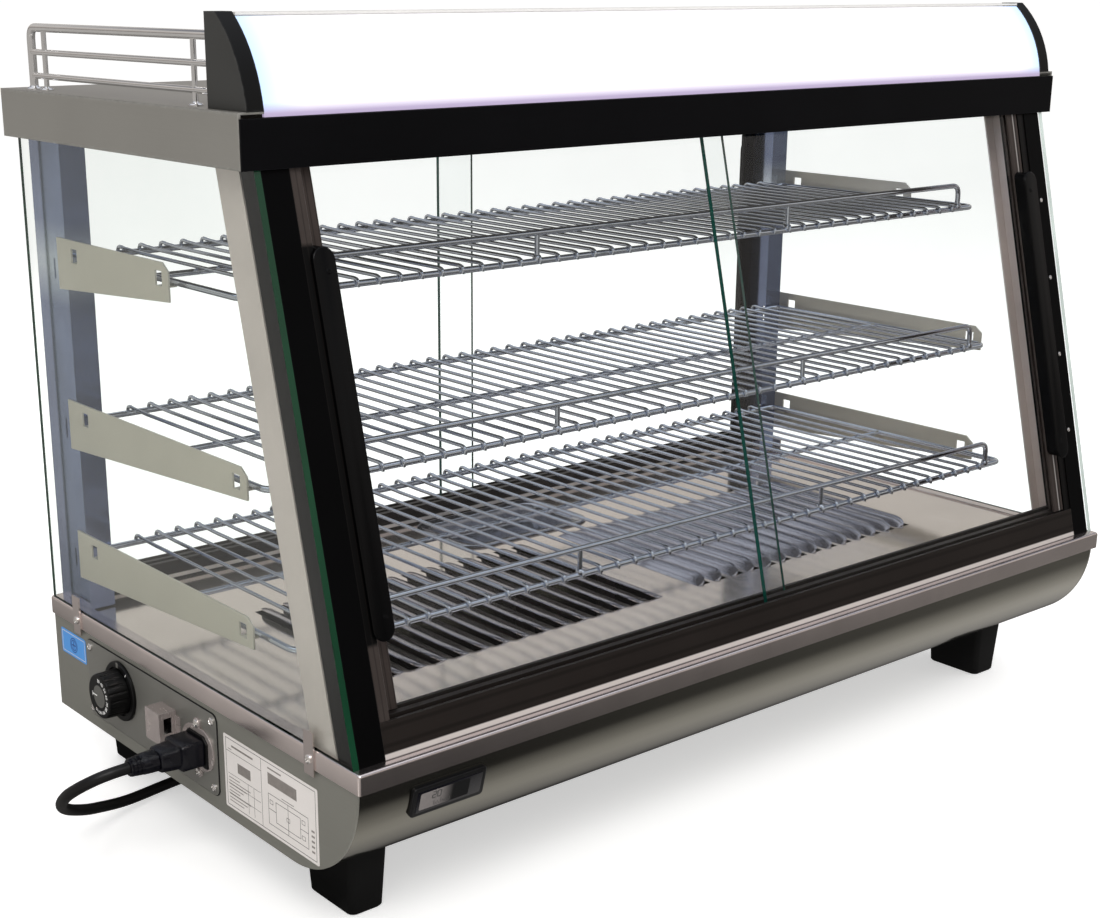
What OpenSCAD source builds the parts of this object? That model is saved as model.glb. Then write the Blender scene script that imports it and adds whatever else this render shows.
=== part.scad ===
// Countertop heated display case with four sliding glass doors.
// Millimetres. X runs to the customer's right, Y to the back, Z up.
// The origin is on the counter, under the middle of the steel ledge.

/* [Overall] */
// Width of the steel ledge round the base
ledge_w = 856; // [820:2:900]
// Depth of the steel ledge
ledge_d = 462; // [450:2:480]
// Width of the canopy tray
canopy_w = 874; // [864:2:900]
// Height of the canopy's lower edge above the counter
canopy_z = 538.5; // [530:0.5:550]
// Height of the light box above the canopy's lower edge
light_box_h = 97.5; // [90:0.5:110]

/* [Base] */
// Height of the base's underside above the counter
base_z = 54; // [50:1:60]
// Height of the ledge's top surface
ledge_z = 153; // [150:1:156]
// Radius of the rounded nose
nose_r = 84; // [70:1:86]
// Thickness of the sheet steel
sheet = 1.5; // [1:0.1:2]

/* [Front glass] */
// Depth of the side glass's front edge at the ledge, in front of the centre
front_foot = 223; // [215:1:226]
// How far the front leans back for each millimetre of height
front_lean = 0.249; // [0.2:0.001:0.27]
// Thickness of the door and side glass
glass_t = 4; // [4:0.5:5]
// Overlap of the two doors at the middle
door_lap = 32; // [20:2:40]

/* [Shelves] */
// Height of the top bracket's upper edge
bracket_top_z = 462; // [455:1:470]
// Height of the middle bracket's upper edge
bracket_mid_z = 331; // [320:1:340]
// Height of the bottom bracket's upper edge
bracket_low_z = 220; // [214:1:226]
// Spacing of the shelf wires
wire_pitch = 19; // [18:1:20]
// Number of wires on a shelf
wire_count = 40; // [30:2:40]
// Diameter of a shelf wire
wire_d = 3; // [2.5:0.5:3.5]
// Diameter of a shelf's frame bars
bar_d = 5; // [4:0.5:6]

/* [Heating] */
// Number of louvres in each bank
louvre_count = 14; // [8:1:14]
// Spacing of the louvres
louvre_pitch = 21; // [20:1:22]
// Diameter of the tubular heaters
heater_d = 8; // [6.5:0.5:9]

/* [Controls] */
// Diameter of the thermostat knob
knob_d = 38; // [34:1:40]
// Spacing of the mains inlet's fixing screws
inlet_pitch = 40; // [38:0.5:42]

/* [Cord] */
// Diameter of the mains cord
cord_d = 9; // [8:0.5:9.5]
// Diameter of the coil at the middle of its turns
coil_d = 100; // [90:1:108]

/* [Hidden] */

cut = 1;
round_fn = 64;
wire_fn = 12;

// Base box
base_x = ledge_w / 2 - 2;
base_front = -ledge_d / 2 + 5;
base_back = ledge_d / 2 - 2;
flange_under = ledge_z - sheet;
ledge_x = ledge_w / 2;
ledge_y = ledge_d / 2;
skirt_z = ledge_z - 15;
flange_in_x = ledge_x - 16;
flange_in_y = ledge_y - 20;
deck_z = flange_under - 1.2;
nose_mid_y = base_front + nose_r;
nose_mid_z = base_z + nose_r;

// Canopy
canopy_x = canopy_w / 2;
canopy_front = -129.4;
canopy_back = 229;
canopy_h = 36.5;
canopy_top = canopy_z + canopy_h;
tray_under = canopy_top - sheet;
box_top = canopy_z + light_box_h;
lamp_arc_r = 95;
lamp_arc_y = canopy_front + lamp_arc_r + 0.4;
lamp_arc_z = canopy_z + 23.5;
lamp_back = -80;
cap_in_x = canopy_x - 19;
cap_out_x = canopy_x - 6;

// Glass, posts and frames
glass_x = ledge_x - 1;
side_glass_t = 5;
glass_top = 562;
glass_back = 226;
stile_out_x = glass_x - side_glass_t - 0.5;
stile_in_x = 400;
stile_depth = 22;
jamb_in_x = 391;
track_top_z = ledge_z + 25;
track_d = 23;
pane_outer = 4;
pane_inner = 15;
pane_end_x = 388;
edge_in_x = 376;
edge_out_x = 390;
edge_wall = 1.8;
pane_low_z = ledge_z + 4;
pane_high_z = 558;
front_rail_z = 541;
rear_rail_z = 538;
post_leg_x = 415;
post_front_y = 175;
post_back_y = 227.5;
post_in_x = 393;
front_post_y0 = 24;
front_post_y1 = 54;
rear_track_y0 = 204;
rear_track_y1 = 227.5;
rear_outer_y = 221;
rear_inner_y = 210;
handle_h = 258;
handle_w = 14;
handle_t = 11.6;
handle_x = 383;
handle_z = 230;

// Shelves
ring_x = 406.5;
shelf_back = 170;
shelf_drop = 15;
guard_rise = 22;
guard_x = 385;
guard_post_x = 143;
shelf_front_top = -72;
shelf_front_mid = -98;
shelf_front_low = -127;
bracket_out_x = post_leg_x + sheet;

// Louvre banks and water tray
louvre_start = 29;
louvre_w = 16;
louvre_h = 6;
louvre_front = -98;
louvre_back = 88;
pan_x0 = -72;
pan_x1 = 82;
pan_y0 = 104;
pan_y1 = 200;
pan_depth = 18;
pan_lip = 9;

// Control side, on the left end of the base
plate_x = -base_x - 1.2;
plate_y0 = -42;
plate_y1 = 168;
plate_z0 = 66;
plate_z1 = 132;
plate_r = 6;
knob_y = 109;
knob_z = 104;
knob_h = 16.5;
flange_d = 50;
flange_h = 3;
switch_y = 30;
switch_z = 104;
inlet_y = -15;
inlet_z = 98;
inlet_w = 27;
inlet_h = 20;
screw_in = 6;

// Cord route: out of the connector, down to the counter and under the base
connector_x = -486;
cord_route = [
    [-486, -15, 98], [-488, -15, 98], [-499.3, -13.6, 96.9], [-509.5, -9.5, 93.7],
    [-517.5, -3.2, 88.6], [-522.7, 4.7, 82.3], [-524.5, 13.6, 75.3], [-522.1, 27.6, 64.2],
    [-515.9, 40.8, 53.7], [-506.4, 52.8, 44.2], [-494.4, 63.3, 35.9], [-480.6, 72.4, 28.7],
    [-466.2, 81.4, 22.7], [-450.4, 90.3, 17], [-433.9, 98.5, 12.4], [-415.9, 106.5, 9.2],
    [-397.3, 113.7, 6.9], [-378, 119, 5.6], [-358, 123.5, 5], [-339, 130.5, 5], [-321, 142, 5],
    [-306, 159, 5], [-296, 180, 5], [-291, 203, 5], [-290, 227, 5], [-290, 250, 5],
    [-290, 274, 5]
];
coil_turn_d = 2 * cord_d + 1;
coil_turn_w = 3 * cord_d + 1.3;
coil_x = -231;
coil_y = 300;
plug_x = -148;
plug_y = coil_y + coil_d / 2;

function front_y(z) = -front_foot + (z - ledge_z) * front_lean;

// A box from its lowest to its highest corner
module block(lo, hi) {
    translate(lo) cube(hi - lo);
}

// A profile drawn in Y and Z, run along X
module along_x(x0, x1) {
    translate([x0, 0, 0]) rotate([90, 0, 90]) linear_extrude(x1 - x0) children();
}

// A rod between two points on one axis direction
module rod_x(x0, x1, y, z, d, fn = round_fn) {
    translate([x0, y, z]) rotate([0, 90, 0]) cylinder(h = x1 - x0, d = d, $fn = fn);
}

module rod_y(y0, y1, x, z, d, fn = round_fn) {
    translate([x, y0, z]) rotate([-90, 0, 0]) cylinder(h = y1 - y0, d = d, $fn = fn);
}

module rod_z(z0, z1, x, y, d, fn = round_fn) {
    translate([x, y, z0]) cylinder(h = z1 - z0, d = d, $fn = fn);
}

// A bar that leans with the front glass, set back from its plane
module leaning(x0, x1, back0, back1, z0, z1) {
    along_x(x0, x1) polygon([
        [front_y(z0) + back0, z0], [front_y(z0) + back1, z0],
        [front_y(z1) + back1, z1], [front_y(z1) + back0, z1]
    ]);
}

// The children on the left, or mirrored to the right
module on_side(side) {
    mirror([side > 0 ? 1 : 0, 0, 0]) children();
}

// A rectangle with rounded corners, centred
module rounded_rect(w, h, r) {
    difference() {
        square([w, h], center = true);
        for (sx = [-1, 1], sy = [-1, 1]) translate([sx * (w / 2 - r), sy * (h / 2 - r)]) {
            difference() {
                translate([sx > 0 ? 0 : -r - cut, sy > 0 ? 0 : -r - cut]) square(r + cut);
                circle(r, $fn = 32);
            }
        }
    }
}

// ---- base ----

// End view of the base box: flat back and bottom, quarter-round nose
module base_outline(inset, top) {
    r = nose_r - inset;
    difference() {
        translate([base_front + inset, base_z + inset])
            square([base_back - base_front - 2 * inset, top - base_z - inset]);
        difference() {
            translate([base_front + inset - cut, base_z + inset - cut]) square(r + cut);
            translate([nose_mid_y, nose_mid_z]) circle(r, $fn = 128);
        }
    }
}

thermo_x = -349;
thermo_w = 64;
thermo_h = 25;
thermo_tilt = 15;

// The thermometer's own upright frame, turned to lie on the nose
module on_nose() {
    translate([thermo_x, nose_mid_y, nose_mid_z]) rotate([thermo_tilt, 0, 0]) children();
}

module base_shell() {
    color([0.36, 0.36, 0.33]) difference() {
        along_x(-base_x + sheet, base_x - sheet) difference() {
            base_outline(0, flange_under);
            base_outline(sheet, flange_under + cut);
        }
        on_nose() block([-28, -nose_r - 5, -8.5], [28, -nose_r + 8, 8.5]);
    }
}

module base_end() {
    along_x(-base_x, -base_x + sheet) base_outline(0, flange_under);
}

module base_end_left() {
    color([0.38, 0.38, 0.35]) difference() {
        base_end();
        block([-base_x - cut, plate_y0 + 12, plate_z0 + 10],
              [-base_x + 3, plate_y1 - 12, plate_z1 - 10]);
        plate_screw_holes(-base_x - cut, -base_x + 3);
    }
}

module plate_screw_holes(x0, x1) {
    for (y = [plate_y0 + screw_in, plate_y1 - screw_in], z = [plate_z0 + screw_in, plate_z1 - screw_in])
        rod_x(x0, x1, y, z, 3.4, 24);
}

module base_end_right() {
    color([0.38, 0.38, 0.35]) mirror([1, 0, 0]) base_end();
}

// Steel ledge: a flat flange with a turned-down skirt
module trim_frame() {
    color([0.70, 0.66, 0.64]) difference() {
        block([-ledge_x, -ledge_y, skirt_z], [ledge_x, ledge_y, ledge_z]);
        block([-ledge_x + sheet, -ledge_y + sheet, skirt_z - cut],
              [ledge_x - sheet, ledge_y - sheet, flange_under]);
        block([-flange_in_x, -flange_in_y, skirt_z], [flange_in_x, flange_in_y, ledge_z + cut]);
        for (side = [-1, 1], y = clip_ys) on_side(side)
            rod_x(-ledge_x - cut, -ledge_x + 3, y, clip_screw_z, 3.4, 24);
    }
}

// A profile drawn in X and Z, run along Y
module along_y(y0, y1) {
    translate([0, y1, 0]) rotate([90, 0, 0]) linear_extrude(y1 - y0) children();
}

function louvre_x(i) = louvre_start + i * louvre_pitch;

// A hood pressed up from the deck, open along its outer side and closed at both ends
module louvre_hood() {
    top = flange_under + louvre_h;
    foot = deck_z + 0.4;
    along_y(louvre_front, louvre_back) polygon([
        [louvre_w, foot], [louvre_w, flange_under], [3, top], [0, top],
        [0, top - 1.2], [2.6, top - 1.2], [louvre_w - 3, foot]
    ]);
    for (y = [louvre_front, louvre_back - 1.2]) along_y(y, y + 1.2)
        polygon([[louvre_w - 1, foot], [louvre_w - 1, flange_under], [3, top], [0, top], [0, foot]]);
}

module heat_deck() {
    color([0.72, 0.68, 0.66]) {
        difference() {
            block([-base_x + sheet + 0.5, base_front + sheet + 0.5, deck_z],
                  [base_x - sheet - 0.5, base_back - sheet - 0.5, flange_under]);
            for (side = [-1, 1], i = [0 : louvre_count - 1])
                on_side(side) translate([-louvre_x(i) - louvre_w / 2, 0, 0])
                    block([0.5, louvre_front + 1.2, deck_z - cut],
                          [louvre_w - 3.5, louvre_back - 1.2, flange_under + cut]);
            block([pan_x0 + pan_lip, pan_y0 + pan_lip, deck_z - cut],
                  [pan_x1 - pan_lip, pan_y1 - pan_lip, flange_under + cut]);
        }
        for (side = [-1, 1], i = [0 : louvre_count - 1])
            on_side(side) translate([-louvre_x(i) - louvre_w / 2, 0, 0]) louvre_hood();
    }
}

module water_tray() {
    mid_x = (pan_x0 + pan_x1) / 2;
    mid_y = (pan_y0 + pan_y1) / 2;
    w = pan_x1 - pan_x0;
    d = pan_y1 - pan_y0;
    floor_z = flange_under - pan_depth;
    color([0.62, 0.62, 0.62]) translate([mid_x, mid_y, 0]) difference() {
        union() {
            translate([0, 0, flange_under + 0.3]) linear_extrude(1.5) rounded_rect(w, d, 20);
            translate([0, 0, floor_z]) linear_extrude(pan_depth + 1)
                rounded_rect(w - 2 * pan_lip - 3, d - 2 * pan_lip - 3, 18);
        }
        translate([0, 0, floor_z + 1.2]) linear_extrude(pan_depth + 4)
            rounded_rect(w - 2 * pan_lip - 6, d - 2 * pan_lip - 6, 16.5);
    }
}

// Square feet that taper towards the counter
foot_w = 36;
foot_l = 62;
foot_taper = 3;

module foot() {
    intersection() {
        along_y(-foot_l / 2, foot_l / 2) polygon([
            [-foot_w / 2 + foot_taper, 0], [foot_w / 2 - foot_taper, 0],
            [foot_w / 2, base_z], [-foot_w / 2, base_z]
        ]);
        along_x(-foot_w / 2, foot_w / 2) polygon([
            [-foot_l / 2 + foot_taper, 0], [foot_l / 2 - foot_taper, 0],
            [foot_l / 2, base_z], [-foot_l / 2, base_z]
        ]);
    }
}

foot_x = 372;
foot_front_y = -128;
foot_back_y = 184;

module feet() {
    color([0.05, 0.05, 0.05]) for (x = [-foot_x, foot_x], y = [foot_front_y, foot_back_y])
        translate([x, y, 0]) foot();
}

// ---- heating and wiring inside the base ----

heater_z = 118;
heater_y0 = -84;
heater_y1 = 74;
heater_x0 = 50;
heater_x1 = 290;
heater_runs = 4;

// A tubular heater bent to and fro under one bank of louvres
module heater() {
    step = (heater_x1 - heater_x0) / (heater_runs - 1);
    for (i = [0 : heater_runs - 1])
        rod_y(heater_y0, heater_y1, -(heater_x0 + i * step), heater_z, heater_d, 24);
    for (i = [0 : heater_runs - 2])
        rod_x(-(heater_x0 + (i + 1) * step), -(heater_x0 + i * step),
              (i % 2 == 0) ? heater_y1 - heater_d / 2 : heater_y0 + heater_d / 2,
              heater_z, heater_d - 1, 24);
    for (x = [heater_x0, heater_x1], y = [-60, 50])
        block([-x - 7, y - 5, base_z + sheet], [-x + 7, y + 5, heater_z]);
}

module heating_elements() {
    color([0.45, 0.40, 0.38]) for (side = [-1, 1]) on_side(side) heater();
}

module thermostat_body() {
    color([0.80, 0.80, 0.78]) {
        block([-base_x + 6, knob_y - 22, knob_z - 20], [-base_x + 38, knob_y + 22, knob_z + 20]);
        rod_x(-base_x - 0.6, -base_x + 7, knob_y, knob_z, 12);
    }
}

bulb_x = -346;
bulb_z = 138;

// Sensing bulb under the deck and the capillary tube back to the thermostat
module thermostat_bulb() {
    color([0.72, 0.45, 0.30]) {
        rod_y(10, 90, bulb_x, bulb_z, 7, 24);
        rod_y(88, knob_y + 2, bulb_x, bulb_z, 3, 16);
        rod_x(-base_x + 42, bulb_x + 1, knob_y, bulb_z, 3, 16);
        rod_z(knob_z, bulb_z + 1, -base_x + 43, knob_y, 3, 16);
        rod_x(-base_x + 38, -base_x + 43, knob_y, knob_z + 1, 3, 16);
    }
}

module terminal_block() {
    color([0.88, 0.86, 0.78]) difference() {
        block([-385, 20, base_z + sheet], [-360, 92, base_z + sheet + 20]);
        for (i = [0 : 5]) rod_z(base_z + 12, base_z + 40, -372, 28 + i * 11, 5, 24);
    }
}

module lamp_driver() {
    color([0.90, 0.90, 0.90])
        block([330, 60, base_z + sheet], [368, 190, base_z + sheet + 28]);
}

// ---- control side ----

module on_left_end(y, z, x = plate_x) {
    translate([x, y, z]) rotate([0, -90, 0]) children();
}

module control_plate() {
    mid_y = (plate_y0 + plate_y1) / 2;
    mid_z = (plate_z0 + plate_z1) / 2;
    color([0.34, 0.34, 0.32]) difference() {
        translate([-base_x, mid_y, mid_z]) rotate([90, 0, -90])
            linear_extrude(1.2) rounded_rect(plate_y1 - plate_y0, plate_z1 - plate_z0, plate_r);
        rod_x(plate_x - cut, -base_x + cut, knob_y, knob_z, 13);
        block([plate_x - cut, switch_y - 7, switch_z - 10], [-base_x + cut, switch_y + 7, switch_z + 10]);
        block([plate_x - cut, inlet_y - 14, inlet_z - 10.5], [-base_x + cut, inlet_y + 14, inlet_z + 10.5]);
        plate_screw_holes(plate_x - cut, -base_x + cut);
        for (s = [-1, 1])
            rod_x(plate_x - cut, -base_x + cut, inlet_y, inlet_z + s * inlet_pitch / 2, 3.4, 24);
    }
}

// Fixed ring behind the knob, with the notch of its pointer
module dial_flange() {
    color([0.04, 0.04, 0.04]) difference() {
        rod_x(plate_x - flange_h, plate_x, knob_y, knob_z, flange_d);
        rod_x(plate_x - flange_h - cut, plate_x - 1.2, knob_y, knob_z, knob_d + 2);
        rod_x(plate_x - flange_h - cut, plate_x + cut, knob_y, knob_z, 13);
        block([plate_x - flange_h - cut, knob_y - 2, knob_z + 21], [plate_x - 1.2, knob_y + 2, knob_z + 30]);
    }
}

module thermostat_knob() {
    color([0.06, 0.06, 0.06]) difference() {
        union() {
            rod_x(plate_x - knob_h - 3.7, plate_x - 1.6, knob_y, knob_z, knob_d);
            rod_x(plate_x - 2, -base_x - 0.9, knob_y, knob_z, 6);
        }
        for (i = [0 : 17]) rotate_about_knob(i * 20)
            translate([plate_x - knob_h - 3.7 - cut, knob_y, knob_z + knob_d / 2 + 0.9])
                rotate([0, 90, 0]) cylinder(h = 9, d = 3, $fn = 24);
        block([plate_x - knob_h - 3.7 - cut, knob_y - 0.5, knob_z + 4],
              [plate_x - knob_h - 3.7 + 0.5, knob_y + 0.5, knob_z + 15]);
    }
}

module rotate_about_knob(a) {
    translate([0, knob_y, knob_z]) rotate([a, 0, 0]) translate([0, -knob_y, -knob_z]) children();
}

guard_w = 22;
guard_h = 26;
guard_out = 15;

// Folded steel guard over the switch, open below, with a window in its front cheek
module switch_guard() {
    x0 = plate_x - guard_out;
    y0 = switch_y - guard_w / 2;
    y1 = switch_y + guard_w / 2;
    z0 = switch_z - guard_h / 2;
    z1 = switch_z + guard_h / 2;
    color([0.68, 0.64, 0.62]) difference() {
        union() {
            block([x0, y0, z0], [plate_x, y1, z1]);
            block([plate_x - 1.2, y0 - 7, z0 + 4], [plate_x, y1 + 7, z1 - 4]);
        }
        block([x0 + 1.2, y0 + 1.2, z0 - cut], [plate_x + cut, y1 - 1.2, z1 - 1.2]);
        block([x0 + 4, y0 - cut, z0 + 8], [plate_x - 4, y0 + 2, z1 - 5]);
    }
}

module switch_body() {
    color([0.07, 0.07, 0.07]) difference() {
        union() {
            block([plate_x - 2, switch_y - 8.5, switch_z - 11], [plate_x, switch_y + 8.5, switch_z + 11]);
            block([plate_x, switch_y - 6.5, switch_z - 9.5], [-base_x + 20, switch_y + 6.5, switch_z + 9.5]);
        }
        block([plate_x - 3, switch_y - 5.5, switch_z - 8.5], [plate_x + 5, switch_y + 5.5, switch_z + 8.5]);
    }
}

rocker_x = plate_x + 0.5;
rocker_tilt = 7;

// Rocker, pressed in at its lower half when off
module power_switch() {
    color([0.75, 0.10, 0.06]) translate([rocker_x, switch_y, switch_z]) {
        rotate([0, rocker_tilt, 0]) difference() {
            block([-4, -5, -7.6], [1.5, 5, 7.6]);
            translate([-14, 0, 0]) rotate([90, 0, 0]) cylinder(h = 12, r = 11, center = true, $fn = 64);
        }
        rod_y(-5.2, 5.2, 0, 0, 2, 24);
    }
}

module inlet_outline(grow) {
    w = inlet_w + grow;
    h = inlet_h + grow;
    polygon([
        [-w / 2, -h / 2], [w / 2, -h / 2], [w / 2, h / 2 - 5], [w / 2 - 5, h / 2],
        [-w / 2 + 5, h / 2], [-w / 2, h / 2 - 5]
    ]);
}

module power_inlet() {
    color([0.05, 0.05, 0.05]) translate([0, inlet_y, inlet_z]) rotate([90, 0, 90]) {
        difference() {
            translate([0, 0, plate_x - 3]) linear_extrude(3) inlet_outline(5);
            translate([0, 0, plate_x - 4]) linear_extrude(5) inlet_outline(-4);
        }
        difference() {
            translate([0, 0, plate_x]) linear_extrude(18) inlet_outline(0);
            translate([0, 0, plate_x - cut]) linear_extrude(16) inlet_outline(-4);
        }
        for (p = [[0, 3], [-7, -2], [7, -2]])
            translate([p[0] - 1, p[1] - 2, plate_x + 3]) cube([2, 4, 24]);
    }
}

// Oval steel ring round the inlet, with a lug and a screw hole above and below
module inlet_retainer() {
    color([0.66, 0.62, 0.60]) difference() {
        union() {
            translate([plate_x - 1.5, inlet_y, inlet_z]) rotate([90, 0, 90])
                linear_extrude(1.5) rounded_rect(47, 34, 16.5);
            for (s = [-1, 1])
                rod_x(plate_x - 1.5, plate_x, inlet_y, inlet_z + s * inlet_pitch / 2, 9);
        }
        translate([plate_x - 2.5, inlet_y, inlet_z]) rotate([90, 0, 90])
            linear_extrude(4) inlet_outline(5.6);
        for (s = [-1, 1])
            rod_x(plate_x - 3, plate_x + cut, inlet_y, inlet_z + s * inlet_pitch / 2, 3.4, 24);
    }
}

clip_ys = [-172, 180];
clip_screw_z = ledge_z - 8;

module pan_screw(x, y, z) {
    difference() {
        union() {
            rod_x(x - 2.2, x, y, z, 7, 32);
            rod_x(x - 0.1, x + 2.6, y, z, 3.2, 24);
        }
        block([x - 2.3, y - 2.4, z - 0.5], [x - 1.3, y + 2.4, z + 0.5]);
        block([x - 2.3, y - 0.5, z - 2.4], [x - 1.3, y + 0.5, z + 2.4]);
    }
}

module panel_screws() {
    color([0.78, 0.74, 0.72]) {
        for (y = [plate_y0 + screw_in, plate_y1 - screw_in], z = [plate_z0 + screw_in, plate_z1 - screw_in])
            pan_screw(plate_x, y, z);
        for (s = [-1, 1]) pan_screw(plate_x - 1.5, inlet_y, inlet_z + s * inlet_pitch / 2);
        for (side = [-1, 1], y = clip_ys) on_side(side) pan_screw(-ledge_x - 1.2, y, clip_screw_z);
    }
}

// ---- cord ----

connector_w = 26;
connector_h = 20;

module cord_connector() {
    color([0.03, 0.03, 0.03]) translate([0, inlet_y, inlet_z]) rotate([90, 0, 90]) difference() {
        union() {
            translate([0, 0, plate_x - 37]) linear_extrude(33.5) inlet_outline(0);
            translate([0, 0, plate_x - 40]) linear_extrude(45) inlet_outline(-5.6);
            translate([0, 0, plate_x - 50]) cylinder(h = 16, d = 16, $fn = round_fn);
            translate([0, 0, connector_x]) cylinder(h = 12, d = 12.5, $fn = round_fn);
        }
        for (p = [[0, 3], [-7, -2], [7, -2]])
            translate([p[0] - 1.5, p[1] - 2.5, plate_x + 2]) cube([3, 5, 4]);
    }
}

// A ring of points round the route at point i, square to the way it runs
function unit(v) = v / norm(v);
function heading(p, i) = unit(p[min(i + 1, len(p) - 1)] - p[max(i - 1, 0)]);
function ring(p, i, r, n) =
    let (t = heading(p, i), side = unit(cross(t, [0, 0, 1])), up = cross(side, t))
    [for (k = [0 : n - 1]) let (a = 360 * k / n) p[i] + r * (cos(a) * side + sin(a) * up)];

module swept_tube(p, d, n) {
    rings = len(p);
    polyhedron(
        points = [for (i = [0 : rings - 1]) each ring(p, i, d / 2, n)],
        faces = concat(
            [[for (k = [0 : n - 1]) k]],
            [for (i = [0 : rings - 2], k = [0 : n - 1]) let (m = (k + 1) % n)
                [i * n + m, i * n + k, (i + 1) * n + k, (i + 1) * n + m]],
            [[for (k = [n - 1 : -1 : 0]) (rings - 1) * n + k]]
        )
    );
}

module power_cord() {
    color([0.03, 0.03, 0.03]) swept_tube(cord_route, cord_d, 10);
}

module cord_coil() {
    color([0.03, 0.03, 0.03]) translate([coil_x, coil_y, 0]) rotate_extrude($fn = 96)
        translate([coil_d / 2 - coil_turn_w / 2, 0.2]) square([coil_turn_w, coil_turn_d]);
}

module mains_plug() {
    color([0.04, 0.04, 0.04]) translate([plug_x, plug_y, 0]) {
        translate([0, 0, 0.3]) linear_extrude(26) rounded_rect(38, 36, 9);
        rod_x(-42, -18, 0, 13, 13);
        for (y = [-9.5, 9.5]) rod_x(18, 38, y, 13, 4.8, 32);
    }
}

// ---- thermometer and labels ----

module thermometer() {
    color([0.05, 0.05, 0.05]) {
        difference() {
            on_nose() block([-thermo_w / 2, -nose_r - 2.5, -thermo_h / 2],
                            [thermo_w / 2, -nose_r + 2, thermo_h / 2]);
            along_x(thermo_x - thermo_w, thermo_x + thermo_w) base_outline(0, flange_under);
        }
        on_nose() block([-27, -nose_r - 1, -8], [27, -nose_r + 18, 8]);
    }
}

module side_labels() {
    color([0.92, 0.92, 0.90])
        block([-base_x - 0.3, -177, 63.5], [-base_x, -51, 122.5]);
    color([0.15, 0.55, 0.85])
        block([-base_x - 0.3, 173, 106], [-base_x, 218, 128]);
}

// ---- posts, side glass and clips ----

// Shelf standard: an angle with pairs of slots for the bracket hooks
module rear_post(side) {
    color([0.66, 0.65, 0.66]) on_side(side) difference() {
        block([-post_leg_x, post_front_y, ledge_z], [-post_in_x, post_back_y, tray_under]);
        block([-post_leg_x + sheet, post_front_y + sheet, ledge_z - cut],
              [-post_in_x + cut, post_back_y + cut, tray_under + cut]);
        for (z = [bracket_low_z, bracket_mid_z, bracket_top_z], s = [0, 1])
            block([-post_leg_x - cut, 181 + s * 14, z - 34],
                  [-post_leg_x + sheet + cut, 184 + s * 14, z - 18]);
    }
}

// Leaning channel behind each front stile
module front_post(side) {
    z1 = canopy_z + 24;
    color([0.72, 0.67, 0.65]) on_side(side) {
        leaning(-stile_out_x, -stile_out_x + sheet, front_post_y0, front_post_y1, ledge_z, z1);
        leaning(-stile_out_x, -stile_in_x, front_post_y0, front_post_y0 + sheet, ledge_z, z1);
        leaning(-stile_out_x, -stile_out_x + 12, front_post_y1 - sheet, front_post_y1, ledge_z, z1);
    }
}

module side_glass(side) {
    color([0.80, 0.88, 0.84, 0.35]) on_side(side) along_x(-glass_x, -glass_x + side_glass_t) polygon([
        [front_y(ledge_z), ledge_z], [glass_back, ledge_z],
        [glass_back, glass_top], [front_y(glass_top), glass_top]
    ]);
}

module glass_clips() {
    color([0.70, 0.66, 0.64]) for (side = [-1, 1], y = clip_ys) on_side(side) {
        difference() {
            block([-ledge_x - 1.2, y - 6, ledge_z - 20], [-ledge_x, y + 6, ledge_z + 13]);
            rod_x(-ledge_x - 2, -ledge_x + cut, y, clip_screw_z, 3.4, 24);
        }
    }
}

// ---- front frame and doors ----

module front_stile(side) {
    color([0.04, 0.04, 0.04]) on_side(side)
        leaning(-stile_out_x, -stile_in_x, 0.5, stile_depth, ledge_z, canopy_z + 24);
}

module front_jambs() {
    color([0.22, 0.18, 0.16]) for (side = [-1, 1]) on_side(side)
        leaning(-stile_in_x, -jamb_in_x, 1.5, track_d, track_top_z, front_rail_z);
}

// A leaning rail with a groove for each pane
module front_rail(z0, z1, groove0, groove1) {
    difference() {
        leaning(-stile_in_x, stile_in_x, 0.5, track_d, z0, z1);
        for (back = [pane_outer, pane_inner])
            leaning(-stile_in_x + 2, stile_in_x - 2, back - 1, back + glass_t + 1.2, groove0, groove1);
    }
}

module front_tracks() {
    top = canopy_z + 24;
    color([0.20, 0.16, 0.15]) {
        front_rail(ledge_z, track_top_z, ledge_z + 3.5, track_top_z + 3);
        front_rail(front_rail_z, top, front_rail_z - 3, top - 2);
    }
}

module front_pane(x0, x1, back) {
    leaning(x0, x1, back, back + glass_t, pane_low_z, pane_high_z);
}

module front_door_left() {
    color([0.80, 0.88, 0.84, 0.35]) front_pane(-pane_end_x, door_lap / 2, pane_inner);
}

module front_door_right() {
    color([0.80, 0.88, 0.84, 0.35]) front_pane(-door_lap / 2, pane_end_x, pane_outer);
}

// Channel on a pane's outer edge, set back with its pane
module edge_channel(side, back) {
    z0 = track_top_z + 1;
    z1 = front_rail_z - 1;
    on_side(side) difference() {
        leaning(-edge_out_x, -edge_in_x, back - edge_wall, back + glass_t + edge_wall, z0, z1);
        leaning(-pane_end_x, -edge_in_x + cut, back, back + glass_t, z0 - cut, z1 + cut);
    }
}

module front_edge_left() {
    color([0.24, 0.19, 0.17]) edge_channel(-1, pane_inner);
}

module front_edge_right() {
    color([0.24, 0.19, 0.17]) edge_channel(1, pane_outer);
}

// Long pull strip with bevelled edges, fixed to the channel
module front_pull(x, back, proud) {
    leaning(x - handle_w / 2, x + handle_w / 2, back - proud + 2, back, handle_z, handle_z + handle_h);
    leaning(x - handle_w / 2 + 2, x + handle_w / 2 - 2, back - proud, back,
            handle_z + 2, handle_z + handle_h - 2);
}

module front_handle_left() {
    color([0.03, 0.03, 0.03]) front_pull(-handle_x, pane_inner - edge_wall, handle_t + 3);
}

module front_handle_right() {
    color([0.03, 0.03, 0.03]) front_pull(handle_x, pane_outer - edge_wall, handle_t);
}

// ---- rear frame and doors ----

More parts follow.
